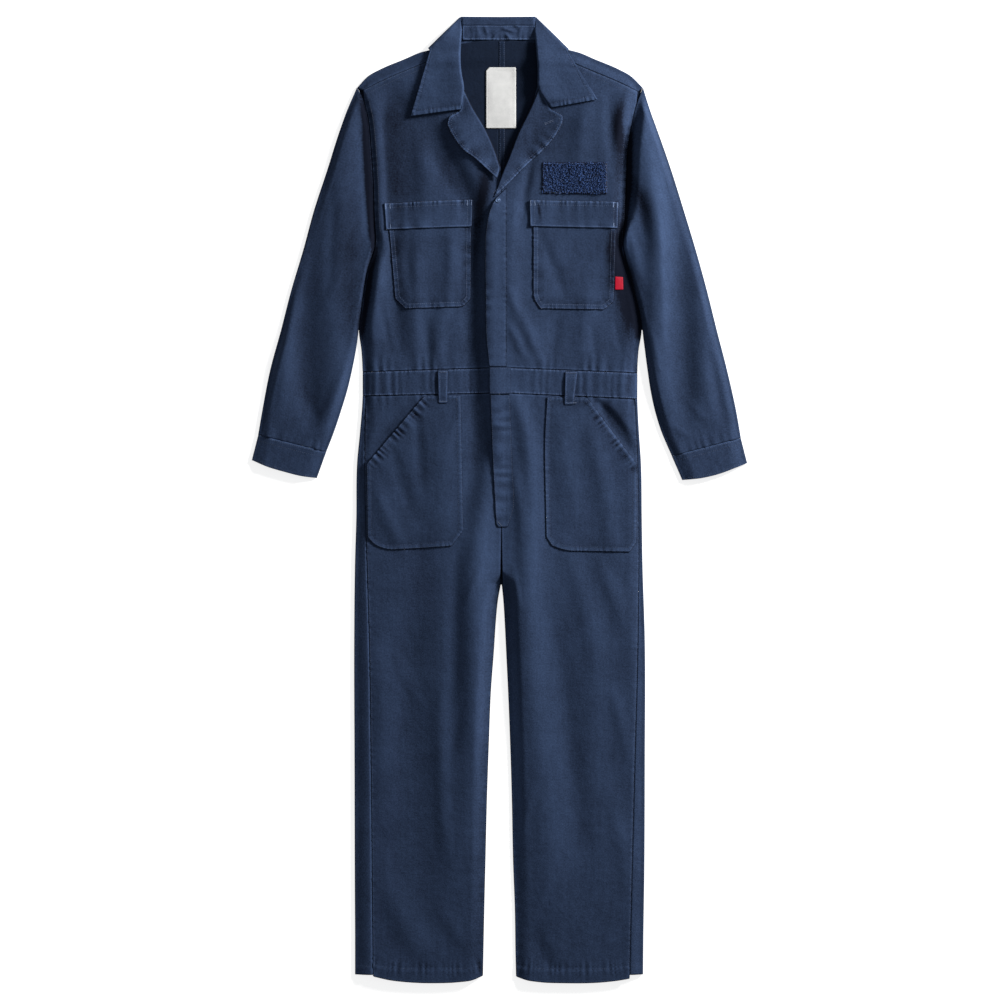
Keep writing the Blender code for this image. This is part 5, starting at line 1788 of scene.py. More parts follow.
# ---------------------------------------------------------------- neck
class Leaf(NamedTuple):
    """One side of the collar: its roll from the back down, its fold's far end and its tip."""

    roll: list[tuple[float, float]]
    fold_end: tuple[float, float]
    tip: tuple[float, float]


LEAVES = {
    Side.RIGHT: Leaf([(65.6, COLLAR_ROLL), (65.6, 1510.0), (61.5, 1487.0), (65.6, 1449.6)],
                     (118.7, 1552.1), (146.9, 1439.2)),
    Side.LEFT: Leaf([(60.6, COLLAR_ROLL), (61.0, 1580.0), (66.0, 1511.0), (66.5, 1486.0),
                     (87.5, 1453.5)], (115.4, 1550.4), (161.8, 1465.8)),
}


@dataclass
class Neck:
    """The collar, the band inside it, the lapels, the back neck seam and the label."""

    sewing: Stitching
    label_sewing: Stitching
    clearance: float = 1.9
    hover: dict[Side, float] = field(default_factory=lambda: {Side.RIGHT: 3.6, Side.LEFT: 1.6})
    rise_run: float = 50.0
    across: int = 46
    down: int = 84
    fold_steps: int = 10
    return_steps: int = 8
    return_bulge: float = 2.2
    collar_thickness: float = 1.3
    lapel_thickness: float = 1.3
    under_rows: int = 10
    stitch_row: float = 6.8
    back_edge: tuple[tuple[float, float], ...] = ((92.0, FALL_EDGE + 4.0), (55.0, FALL_EDGE + 1.0),
                                                  (0.0, FALL_EDGE))

    def edges(self, side: Side) -> Array:
        """The collar leaf's free edge: from the shoulder to the tip and along its end."""
        leaf = LEAVES[side]
        return mirrored(side, [leaf.fold_end, leaf.tip, leaf.roll[-1]])

    def leaf_middle(self, side: Side, x: Array, y: Array) -> Array:
        """Middle of a collar leaf: above the front, coming down to the back roll.

        Args:
            side: the leaf's side.
            x: distances from the centre line, signed.
            y: heights above the hem.

        Returns:
            Height above the surface.
        """
        corner = LEAVES[side].roll[0]
        away = np.hypot(side.value * x - corner[0], y - corner[1])
        low = BACK_MID + LAYER
        high = RELIEF.front(x, y) + self.clearance + self.hover[side]
        height = low + (high - low) * smooth(away / self.rise_run)
        edge = self.edges(side)
        off = nearest(x, y, edge)[0]
        gather = Pucker(resampled(edge, 12.0), 7.5, 0.6, 6.5, 2.0 * side.value, 1.5).lift(x, y)
        roll = nearest(x, y, mirrored(side, flowing(LEAVES[side].roll)))[0]
        stand = 4.0 * bell(roll, 24.0) * smooth(away / 60.0) * smooth(off / 16.0)
        wave = 0.9 * bell(off, 15.0, 24.0) * np.sin(y / 17.0 + side.value)
        stitched = 0.25 * bell(off, 0.9, self.stitch_row)
        return height + (gather + stand + wave * 0.6 - 0.5 * rim(off, 1.6) - stitched) * smooth(away / 30.0)

    def half(self, side: Side) -> tuple[Array, Array, Array]:
        """Rows of one half of the collar, from its front end over the fold to the centre back.

        Args:
            side: the wearer's side.

        Returns:
            The points, their cut positions and their tone, with painted light and shade.
        """
        leaf = LEAVES[side]
        across = np.concatenate((np.linspace(0.0, 0.94, self.across - 6),
                                 (0.955, 0.968, 0.979, 0.988, 0.995, 1.0)))
        down = np.concatenate(((0.0, 0.006, 0.013, 0.022, 0.033), np.linspace(0.045, 1.0, self.down - 4)))
        corner = leaf.roll[0]
        crease = along(np.array((corner, leaf.fold_end)), across)
        radius = (self.leaf_middle(side, side.value * crease[:, 0], crease[:, 1]) - BACK_MID) / 2
        inwards = (radius + self.collar_thickness / 2) * math.sqrt(0.5)
        foot = crease - inwards[:, None]
        front_end = np.array((leaf.roll[-1], leaf.tip))
        roll_edge = flowing([tuple(foot[0])] + list(leaf.roll[1:]))
        outer_edge = np.array((foot[-1], leaf.tip))
        plan = patch(front_end, foot, roll_edge[::-1], outer_edge[::-1], across, down)
        height = self.leaf_middle(side, side.value * plan[..., 0], plan[..., 1])
        rows = [np.dstack((plan, height))]
        rows[0][-1, :, 2] = BACK_MID + 2 * radius
        angle = math.pi - math.pi * np.arange(1, self.fold_steps + 1) / self.fold_steps
        reach = radius[None] * np.sin(angle)[:, None]
        bend = foot[None] + (reach * math.sqrt(0.5))[..., None]
        rows.append(np.dstack((bend, BACK_MID + radius[None] * (1 - np.cos(angle))[:, None])))
        centre_y = COLLAR_ROLL - FOLD_REACH
        centre_back = np.array(((0.0, centre_y), (0.0, FALL_EDGE)))
        back_roll = np.array((foot[0], (0.0, centre_y)))
        far_edge = np.array((tuple(foot[-1]),) + self.back_edge)
        under = patch(foot, centre_back, back_roll, far_edge, across,
                      ease_ends(self.under_rows, 0.3))
        rows.append(np.dstack((under[1:], np.full(under[1:].shape[:2], BACK_MID))))
        points = np.concatenate(rows)
        ahead = unit(np.array(leaf.fold_end) - corner)
        unfolded = 2 * (corner + ((plan - corner) @ ahead)[..., None] * ahead) - plan
        share = (np.arange(self.fold_steps) + 1.0)[:, None, None] / self.fold_steps
        bent = unfolded[-1] + (foot - unfolded[-1]) * share
        cut = np.concatenate((unfolded, bent, under[1:])) * (side.value, 1.0) * MM
        off = nearest(side.value * points[..., 0], points[..., 1], self.edges(side))[0]
        # worn paler along the free edge and just inside it; painted shade in the stitching's groove; painted
        # light over the whole collar, more on its right half
        fade = 0.4 * bell(off, 1.5) - 0.12 * bell(off, 1.0, self.stitch_row)
        fade = fade + 0.15 * bell(off, 1.6, 4.0) + 0.09 - 0.04 * side.value
        points[..., 0] *= side.value
        return points, cut, fade

    def collar(self) -> None:
        """The fall, its turned roll edges and the part that comes over the back roll."""
        grids, turned = [], []
        for side in SIDES:
            points, cut, fade = self.half(side)
            grids.append((points, cut, fade, side is Side.RIGHT))
            turned.append(self.turned_roll(side, points[:self.down + 1, 0], cut[:self.down + 1, 0]))
            back = slice(self.down + self.fold_steps, None)
            grids.append(self.lip(points[back, 0], cut[back, 0], side is Side.LEFT))
        made = joined_grids("collar_fall", grids + turned)
        finish_grids(made, "collar", self.collar_thickness)
        for side in SIDES:
            inner = self.inner_line(self.edges(side), side.value * self.stitch_row)
            self.sewing.lay(resampled(inner, 6.0), lambda x, y, side=side: self.leaf_middle(side, x, y)
                            + self.collar_thickness / 2)

    def inner_line(self, edge: Array, amount: float) -> Array:
        """A line of stitching inside the leaf's free edge, with its corner mitred.

        Args:
            edge: the free edge, of three points.
            amount: how far inside it.

        Returns:
            The line's three points.
        """
        first, last = unit(edge[1] - edge[0]), unit(edge[2] - edge[1])
        normal = [np.array((-ahead[1], ahead[0])) * -amount for ahead in (first, last)]
        cross = first[0] * last[1] - first[1] * last[0]
        gap = (edge[1] + normal[1]) - (edge[1] + normal[0])
        t = (gap[0] * last[1] - gap[1] * last[0]) / cross
        corner = edge[1] + normal[0] + first * t
        return np.array((edge[0] + normal[0] + first * 3.0, corner, edge[2] + normal[1] - last * 3.0))

    def turned_roll(self, side: Side, line: Array, cut: Array) -> Grid:
        """The roll's rounded edge, turning down to the cloth beneath.

        Args:
            side: the wearer's side.
            line: points of the roll.
            cut: their cut positions.

        Returns:
            Its grid.
        """
        angle = np.linspace(0.0, math.pi * 0.9, self.return_steps + 1)
        base = RELIEF.back(line[:, 0], line[:, 1]) + CLOTH * 0.7
        middle = (line[:, 2] + base) / 2
        half = (line[:, 2] - base) / 2
        swell = self.return_bulge * smooth(half / 2.0)
        points = np.dstack((line[:, :1] - side.value * swell[:, None] * np.sin(angle),
                            np.repeat(line[:, 1:2], len(angle), axis=1),
                            middle[:, None] + half[:, None] * np.cos(angle)))
        run = row_marks(points)
        return points, run_on(cut, run), 0.22 * bell(run, 3.0), side is Side.LEFT

    def lip(self, line: Array, cut: Array, turned: bool) -> Grid:
        """The roll over the back, down to the band's seam, a little crumpled.

        Args:
            line: points of the roll.
            cut: their cut positions.
            turned: whether its faces are turned over.

        Returns:
            Its grid.
        """
        reach, rise = half_turn(self.fold_steps)
        flat_y = line[:, 1:2] + (COLLAR_SEAM + SEAT - line[:, 1:2]) * np.linspace(0.0, 1.0, 9)[1:]
        flat_z = line[:, 2:3] + LAYER + self.stand_wrinkles(line[:, :1] + 0 * flat_y, flat_y) * 0.6
        y = np.concatenate((line[:, 1:2] + reach, flat_y), axis=1)
        z = np.concatenate((line[:, 2:3] + rise, flat_z), axis=1)
        points = np.dstack((np.repeat(line[:, :1], y.shape[1], axis=1), y, z))
        run = row_marks(points)
        return points, run_on(cut, run), 0.15 * bell(run, 4.0), turned

    def stand_wrinkles(self, x: Array, y: Array) -> Array:
        """Crumpling of the inside band about the centre back.

        Args:
            x, y: the points' places in plan.

        Returns:
            The height at each point.
        """
        seam = 0.45 * ripple(x + 70.0, 9.0, 3.0) * bell(y, 7.0, NECK_SEAM)
        slack = 0.5 * np.sin(x / 7.3 + 1.3 * np.sin(y / 5.0)) + 0.3 * np.sin(x / 3.9 - y / 4.0)
        return fold_sum(STAND_FOLDS, x, y) + seam + slack + 0.4

    def band(self) -> None:
        """The inside back neck band."""
        outline = rounded([(-62.0, NECK_SEAM + SEAT), (61.0, NECK_SEAM + SEAT), (60.6, COLLAR_SEAM),
                           (-62.0, COLLAR_SEAM)])
        piece = FlatCloth("neck_band", outline, RELIEF.back, -CLOTH / 2, CLOTH, 2.0,
                          lift=self.stand_wrinkles, turned=3.0)
        piece.make(FINISH.twill, "collar_stand", "collar")
        for y in (NECK_SEAM + 2.2, COLLAR_SEAM - 2.0):
            self.sewing.lay([(-58.0, y), (56.0, y)], piece.top)

    def back_seam(self) -> None:
        """The felled seam down the inside of the back, with a stitch line along each edge."""
        outline = rounded([(-1.0, 1200.0), (9.2, 1200.0), (9.2, NECK_SEAM - 1.0),
                           (-1.0, NECK_SEAM - 1.0)])
        piece = FlatCloth("back_neck_seam", outline, RELIEF.back, CLOTH / 2 + 0.05, 0.7, 2.0,
                          drop=0.5, worn=0.7,
                          puckers=(Pucker([(4.0, 1200.0), (4.0, 1565.0)], 8.0, 0.12, 6.0),))
        piece.make(FINISH.inner, None, "back_right", "back_left")
        for x in (0.6, 7.6):
            self.sewing.lay([(x, 1204.0), (x, NECK_SEAM - 2.0)], piece.top)

    def label(self) -> None:
        """The sewn-in label, bare, with one corner cut off."""
        outline = rounded([(-22.4, 1419.3), (27.4, 1419.3), (27.4, 1520.6), (-17.0, 1520.6),
                           (-22.4, 1515.0)])

        def buckle(x: Array, y: Array) -> Array:
            """A slow wave up the label, and a low crossways ridge."""
            return (0.5 * np.sin((y - 1419.0) / 24.0 + x / 40.0) * smooth((x + 22.0) / 12.0)
                    * smooth((27.0 - x) / 12.0) + 0.25)

        piece = FlatCloth("bare_label", outline, RELIEF.back, CLOTH / 2 + 0.9, 0.5, 1.8, drop=0.25,
                          lift=buckle, worn=0.3).make(FINISH.white, "neck_label", "back_neck_seam")
        self.label_sewing.lay(inner_ring(outline, 4.6), piece.top, 2.6, 2.1)

    def lapel_lift(self, x: Array, y: Array) -> Array:
        """A turned-back lapel stands up along its roll and lies down towards its edge.

        Args:
            x, y: the points' places in plan.

        Returns:
            The height at each point.
        """
        roll = ROLL[Side.LEFT]
        share = (y - roll[-1, 1]) / (roll[0, 1] - roll[-1, 1])
        roll_x = roll[-1, 0] + (roll[0, 0] - roll[-1, 0]) * share
        off = 1 - smooth((np.abs(x) - roll_x) / 34.0)
        edge = np.where(x < 0, 3.4, 0.5) * smooth((y - 1322.0) / 24.0)
        return edge + (4.6 - edge) * off * smooth((y - 1300.0) / 50.0)

    def lapel(self, side: Side, outline: Points, roll_points: int,
              free: slice) -> FlatCloth:
        """A turned-back lapel.

        Args:
            side: the wearer's side.
            outline: its corners, starting at the top of its roll.
            roll_points: how many of them lie on the roll.
            free: which of them lie on its stitched free edge.

        Returns:
            The lapel's cloth.
        """
        roll = flowing(outline[:roll_points])
        edge = flowing(outline[free], 4.0)
        seed = 2.0 + side.value
        offset = level(1)
        piece = FlatCloth(
            "lapel_turned_" + side.word, rounded(np.concatenate((roll, outline[roll_points:]))),
            RELIEF.front, offset, self.lapel_thickness, 2.2, lift=self.lapel_lift, worn=0.8,
            puckers=(Pucker(edge, 7.6, 0.5, 6.0, seed), Pucker(edge, 26.0, 0.8, 15.0, seed + 2)),
            rolled=roll, rolled_run=3.4,
            rolled_depth=lambda x, y: offset + self.lapel_lift(x, y) + 0.4)
        piece.make(FINISH.twill, "lapel_" + side.word, "bodice_front_" + side.word)
        for off in (1.8, 6.4):
            self.sewing.lay(shifted(edge, piece.hand(edge, 3.0) * off)[1:-1], piece.top)
        return piece

    def lapels(self) -> None:
        """Both lapels, and the buttonhole of the left one."""
        right = [(-60.0, 1486.0), (-45.6, 1455.8), (-22.4, 1416.0), (-7.5, 1382.8), (1.6, 1354.0),
                 (-3.6, 1333.6), (-20.8, 1349.6), (-40.7, 1367.8), (-60.6, 1381.1), (-78.8, 1406.0),
                 (-87.1, 1425.9), (-83.8, 1437.6), (-67.0, 1447.0), (-64.2, 1450.0)]
        left = [(64.5, 1485.0), (52.3, 1455.8), (29.0, 1407.7), (12.4, 1364.5), (4.1, 1344.6),
                (-9.1, 1306.4), (-9.1, 1303.1), (20.8, 1331.3), (45.6, 1357.9), (68.9, 1377.8),
                (93.8, 1406.0), (105.4, 1429.3), (105.4, 1439.2), (90.0, 1449.0), (86.0, 1450.0),
                (67.5, 1484.0)]
        self.lapel(Side.RIGHT, right, 5, slice(5, 13))
        piece = self.lapel(Side.LEFT, left, 6, slice(6, 14))
        start, end = np.array((75.5, 1426.5)), np.array((89.5, 1431.5))
        ahead = unit(end - start)
        across = np.array((-ahead[1], ahead[0]))
        for hand in (-1.0, 1.0):
            self.sewing.tack(start + across * hand, end + across * hand, piece.top, 1.4)
        self.sewing.tack(start - across * 1.4, start + across * 1.4, piece.top, 1.6)

    def build(self) -> None:
        """Make the neck from the inside out."""
        self.band()
        self.back_seam()
        self.label()
        self.lapels()
        self.collar()


# ---------------------------------------------------------------- fastening
@dataclass
class Closing:
    """The strip that covers the front fastening, in three lengths, and its snap."""

    sewing: Stitching
    thickness: float = 1.3
    stand: float = 3.2
    flat_from: float = 10.0
    stand_run: float = 34.0
    waist_step: float = 0.9
    sewn_at: float = 10.3
    snap_centre: tuple[float, float] = (-2.8, 1298.4)
    snap_radius: float = 4.0

    def lift(self, x: Array, y: Array) -> Array:
        """The strip's free edge stands up over the other front, and its sewn edge sinks in."""
        return (self.stand * smooth((self.flat_from - x) / self.stand_run)
                - 0.5 * smooth((x - 4.0) / 8.0) - 0.5 * bell(x, 1.3, self.sewn_at))

    def strip(self, place: str, outline: Points, share: float, step: float,
              puckers: Sequence[Pucker], rests_on: str) -> FlatCloth:
        """One length of the strip.

        Args:
            place: where it is.
            outline: its corners.
            share: share of the full stand that its free edge has.
            step: extra height of what lies under it.
            puckers: gathers of its stitching.
            rests_on: what lies under it.

        Returns:
            The strip's cloth.
        """
        piece = FlatCloth("strip_" + place, rounded(outline), RELIEF.front, level(1), self.thickness,
                          2.2, lift=lambda x, y: step + share * self.lift(x, y), puckers=puckers,
                          worn=0.0, drop=0.4)
        return piece.make(FINISH.twill, "placket_" + place, rests_on)

    def build(self) -> None:
        """Make the three lengths, their stitching and the snap."""
        free = [(-8.3, 1300.2), (-17.4, 1279.9), (-24.1, 1243.3), (-24.1, 1155.4), (-22.4, 1065.7),
                (-17.4, 1022.6)]
        upper = self.strip("upper", free + [(12.4, 1022.6), (12.4, 1321.0)], 1.0, 0.0,
                           (Pucker([(9.8, 1022.0), (9.8, 1300.0)], 13.0, 0.3, 6.0, 2.0),
                            Pucker(flowing(free), 24.0, 0.5, 9.0, 3.0)), "bodice_front_left")
        waist = self.strip("waist", [(-17.4, 1022.0), (-17.4, 977.0), (19.1, 977.7), (19.1, 1022.0)],
                           0.5, self.waist_step, (), "trouser_front_left")
        edge = [(-15.8, 976.1), (-12.4, 878.1), (-5.8, 761.9)]
        sewn = [(14.1, 757.0), (24.1, 786.8), (22.4, 849.9), (17.4, 976.1)]
        lower = self.strip("lower", edge + [(-2.5, 757.0)] + sewn, 0.5, 0.0,
                           (Pucker([(4.0, 757.0), (4.0, 976.0)], 19.0, 0.5, 16.0, 5.0),
                            Pucker([(-6.0, 757.0), (-6.0, 976.0)], 33.0, 0.5, 12.0, 1.0)),
                           "trouser_front_left")
        self.sewing.lay([(self.sewn_at, 1024.0), (self.sewn_at, 1296.0)], upper.top)
        self.sewing.lay(shifted(flowing(free), 2.0), upper.top)
        for y in (979.4, 1019.6):
            self.sewing.lay([(-16.0, y), (17.5, y)], waist.top)
        self.sewing.lay(flowing([(15.4, 975.0), (20.4, 850.0), (22.0, 787.0), (12.6, 759.4)]), lower.top)
        self.sewing.lay(shifted(flowing(edge), 1.8), lower.top)
        self.sewing.tack((-3.0, 766.0), (4.0, 758.6), lower.top, 2.2)
        turning("turning_rise", np.array(((CENTRE, 800.0), (CENTRE, 661.0))), 1.8, "trouser_back_left")
        self.snap(upper)

    def snap(self, strip: FlatCloth) -> None:
        """The snap's cap: a shallow dome in a ring, with a dimple in the middle.

        Args:
            strip: the length of the strip that it sits on.
        """
        x, y = self.snap_centre
        turns = np.linspace(0, 2 * math.pi, 24, endpoint=False)
        seat = float(np.max(strip.top(x + self.snap_radius * np.cos(turns),
                                      y + self.snap_radius * np.sin(turns)))) + 0.02
        bpy.ops.object.select_all(action="DESELECT")
        bpy.ops.mesh.primitive_circle_add(vertices=48, radius=self.snap_radius * MM,
                                          fill_type="NGON", location=to_frame((x, y, seat)))
        made = bpy.context.object
        made.name = "snap_cap"
        bpy.ops.object.transform_apply(location=True, rotation=True, scale=True)
        bpy.ops.object.mode_set(mode="EDIT")
        bpy.ops.mesh.select_all(action="SELECT")
        for thickness, rise in ((0.0, 0.5), (0.4, 0.3), (0.5, 0.0), (0.4, -0.5), (0.6, -0.1),
                                (0.4, 0.4), (0.5, 0.2), (0.5, 0.05)):
            if thickness:
                bpy.ops.mesh.inset(thickness=thickness * MM, depth=0.0)
            else:
                bpy.ops.mesh.extrude_region_move()
            bpy.ops.transform.translate(value=(0.0, 0.0, rise * MM))
        bpy.ops.object.mode_set(mode="OBJECT")
        bpy.ops.object.shade_smooth()
        mesh = made.data
        bm = bmesh.new()
        bm.from_mesh(mesh)
        boundary = [edge for edge in bm.edges if edge.is_boundary]
        if boundary:
            bmesh.ops.holes_fill(bm, edges=boundary, sides=0)
        bmesh.ops.recalc_face_normals(bm, faces=bm.faces[:])
        bm.to_mesh(mesh)
        bm.free()
        mesh.set_sharp_from_angle(angle=math.radians(50))
        finish_piece(made, FINISH.metal, "snap")


# ---------------------------------------------------------------- pockets
@dataclass
class Chest:
    """The chest pockets with their flaps, the loop patch and the tab."""

    sewing: Stitching
    tacks: Stitching
    pile_pitch: float = 2.1
    pile_row: float = 0.9        # share of the pitch from row to row
    pile_margin: float = 0.9
    pile_jitter: float = 0.55
    flap_thickness: float = 1.3
    inner_row: float = 7.6
    rows_to: float = 1262.0      # where a pocket's rows of stitches pass under its flap

    def pocket(self, side: Side, outline: Points) -> None:
        """A patch pocket with cut-off lower corners.

        Args:
            side: the wearer's side.
            outline: its corners.
        """
        line = rounded(outline, 1.6)
        seed = 3.0 + side.value
        piece = FlatCloth("pocket_chest_" + side.word, line, RELIEF.front, level(1), CLOTH, 2.2,
                          puff=0.5, turned=8.6, worn=0.25, drop=0.45, puckers=(
                              Pucker(resampled(closed(line), 9), 9.0, 0.34, 4.5, seed, 3.0),
                              Pucker(resampled(closed(line), 14), 31.0, 0.35, 12.0, seed + 1, 3.0)))
        piece.make(FINISH.twill, "chest_pocket_" + side.word, "bodice_front_" + side.word)
        for off in (1.7, self.inner_row):
            ring = resampled(inner_ring(line, off), 2.0)
            keep = ring[ring[:, 1] < self.rows_to]
            order = np.argmax(np.hypot(*np.diff(closed(keep), axis=0).T))
            self.sewing.lay(np.roll(keep, -order - 1, axis=0), piece.top)

    def flap(self, side: Side, corners: Points) -> None:
        """A pocket flap: doubled cloth, sewn along its top, with tacked corners.

        Args:
            side: the wearer's side.
            corners: upper outer, upper inner, lower inner and lower outer, or the mirror of them.
        """
        corner = np.array(corners)
        upper, lower = resampled(corner[:2], 10), corner[2:]
        seed = 5.0 + side.value
        piece = FlatCloth("flap_chest_" + side.word, rounded(corners, 1.8), RELIEF.front, level(2),
                          self.flap_thickness, 2.0, worn=0.6, drop=0.7, drop_run=1.8,
                          lift=lambda x, y: 0.9 * smooth((15.0 - nearest(x, y, lower)[0]) / 15.0),
                          puckers=(Pucker(upper, 8.2, 0.5, 7.5, seed, 2.0),
                                   Pucker(resampled(lower, 10), 27.0, 0.45, 12.0, seed + 1),
                                   Pucker(upper, 22.0, 0.4, 22.0, seed + 3)))
        piece.make(FINISH.twill, "chest_flap_" + side.word, "pocket_chest_" + side.word)
        left_top, right_top = np.array(sorted(corner[:2].tolist()))
        left_low, right_low = np.array(sorted(corner[2:].tolist()))
        inward = unit(right_top - left_top)
        left = (left_top, left_low, inward, unit(left_low - left_top))
        right = (right_top, right_low, -inward, unit(right_low - right_top))
        for off in (1.8, 8.0):
            self.sewing.lay([top + down * off + across * 2.0 for top, _, across, down in (left, right)],
                            piece.top)
        for off in (2.0, 8.2):
            for top, low, across, down in (left, right):
                self.sewing.lay([top + across * off + down * 2.0, low + across * off - down * 1.6],
                                piece.top)
        self.sewing.lay([low - down * 2.2 + across * 2.0 for _, low, across, down in (left, right)],
                        piece.top)
        for off in (2.4, 9.4):
            for top, _, across, down in (left, right):
                start = top + across * off + down * 1.8
                self.tacks.tack(start, start + down * 8.0, piece.top, 1.9)
        start = (right_low if side is Side.LEFT else left_low) + np.array((-7.4 * side.value, 2.5))
        self.tacks.tack(start, start + np.array((0.0, 6.0)), piece.top, 1.6)

    def patch(self) -> None:
        """The loop patch: a backing with a sewn border, and pile loops standing on it."""
        outline = rounded([(70.5, 1309.7), (178.4, 1308.5), (178.0, 1361.5), (70.5, 1362.9)])
        piece = FlatCloth("patch_backing", outline, RELIEF.front, level(1), 0.9, 2.0, worn=-0.4,
                          drop=0.3).make(FINISH.pile, "loop_patch", "bodice_front_left")
        self.tacks.lay(inner_ring(outline, 2.3), piece.top, 2.9, 2.3)
        self.loops(piece)

    def loops(self, piece: FlatCloth) -> None:
        """Hundreds of small leaning loops of yarn over the patch.

        Args:
            piece: the patch's backing.
        """
        source = np.random.default_rng(11)
        low, high = piece.outline.min(axis=0), piece.outline.max(axis=0)
        x, y = np.meshgrid(np.arange(low[0], high[0], self.pile_pitch),
                           np.arange(low[1], high[1], self.pile_pitch * self.pile_row))
        x = (x + (np.arange(len(x)) % 2)[:, None] * self.pile_pitch / 2).ravel()
        x = x + source.normal(0, self.pile_jitter, x.shape)
        y = y.ravel() + source.normal(0, self.pile_jitter, x.shape)
        keep = inside(x, y, piece.outline) & (piece.to_edge(x, y) > self.pile_margin)
        x, y = x[keep], y[keep]
        count = len(x)
        turn = source.uniform(0, math.pi, count)
        lean = source.normal(0, self.pile_jitter, (2, count))
        tall = source.uniform(1.2, 2.4, count) * (0.75 + 0.5 * source.random(count))
        span = source.uniform(1.6, 3.0, count)
        arch = np.array(((-0.5, -0.15), (-0.42, 0.62), (0.0, 1.0), (0.42, 0.62), (0.5, -0.15)))
        ring = np.array(((0.0, 0.36), (0.34, -0.2), (-0.34, -0.2)))
        ahead = np.column_stack((np.cos(turn), np.sin(turn)))
        side = np.column_stack((-ahead[:, 1], ahead[:, 0]))
        base = piece.top(x, y)
        points = np.zeros((count, len(arch), len(ring), 3))
        for step, (reach, rise) in enumerate(arch):
            for corner, (out, up) in enumerate(ring):
                points[:, step, corner, :2] = (np.column_stack((x, y)) + ahead * (reach * span)[:, None]
                                               + side * out + lean.T * rise * tall[:, None])
                points[:, step, corner, 2] = base + rise * tall + up
        number = numbered(len(arch), len(ring))
        shape = quads(np.concatenate((number, number[:, :1]), axis=1), False)
        faces = (np.arange(count)[:, None, None] * number.size + shape[None]).reshape(-1, 4)
        places = points.reshape(-1, 3)
        # each loop's own tone; painted light makes it paler towards its top and darker at its feet
        tone = np.repeat(source.uniform(-0.3, 0.5, count), number.size)
        tone = tone + np.tile(np.repeat(arch[:, 1] * 0.6, len(ring)), count)
        made = mesh_object("pile_loops", places, faces, places[faces.ravel(), :2] * MM,
                           np.clip(tone, -1, 1))
        finish_piece(made, FINISH.pile)

    def tab(self) -> None:
        """The small folded tab caught in the pocket's edge, bare."""
        outline = rounded([(191.4, 1150.4), (205.5, 1150.8), (205.0, 1172.0), (191.6, 1172.4)])
        piece = FlatCloth("bare_tab", outline, RELIEF.front, level(1), 1.0, 1.2, drop=0.3, worn=0.3,
                          puff=0.3, rolled=[(205.3, 1150.4), (205.0, 1172.4)], rolled_run=1.2,
                          rolled_depth=lambda x, y: 0.5 + 0 * x)
        piece.make(FINISH.red, "edge_tab", "bodice_front_left")

    def build(self) -> None:
        """Make both pockets with their flaps, the patch and the tab."""
        self.pocket(Side.RIGHT, [(-185.9, 1283.2), (-183.4, 1248.3), (-173.5, 1135.4),
                                 (-156.9, 1118.8), (-60.6, 1122.2), (-47.3, 1135.4),
                                 (-46.5, 1286.5)])
        self.pocket(Side.LEFT, [(55.6, 1286.5), (55.6, 1135.4), (67.2, 1118.8), (173.5, 1117.2),
                                (190.1, 1130.5), (193.4, 1253.3), (194.2, 1283.2)])
        self.flap(Side.RIGHT, [(-191.7, 1294.8), (-44.0, 1301.4), (-45.6, 1255.0), (-188.4, 1250.0)])
        self.flap(Side.LEFT, [(49.0, 1299.8), (198.4, 1296.5), (196.7, 1251.6), (50.6, 1255.0)])
        self.patch()
        self.tab()


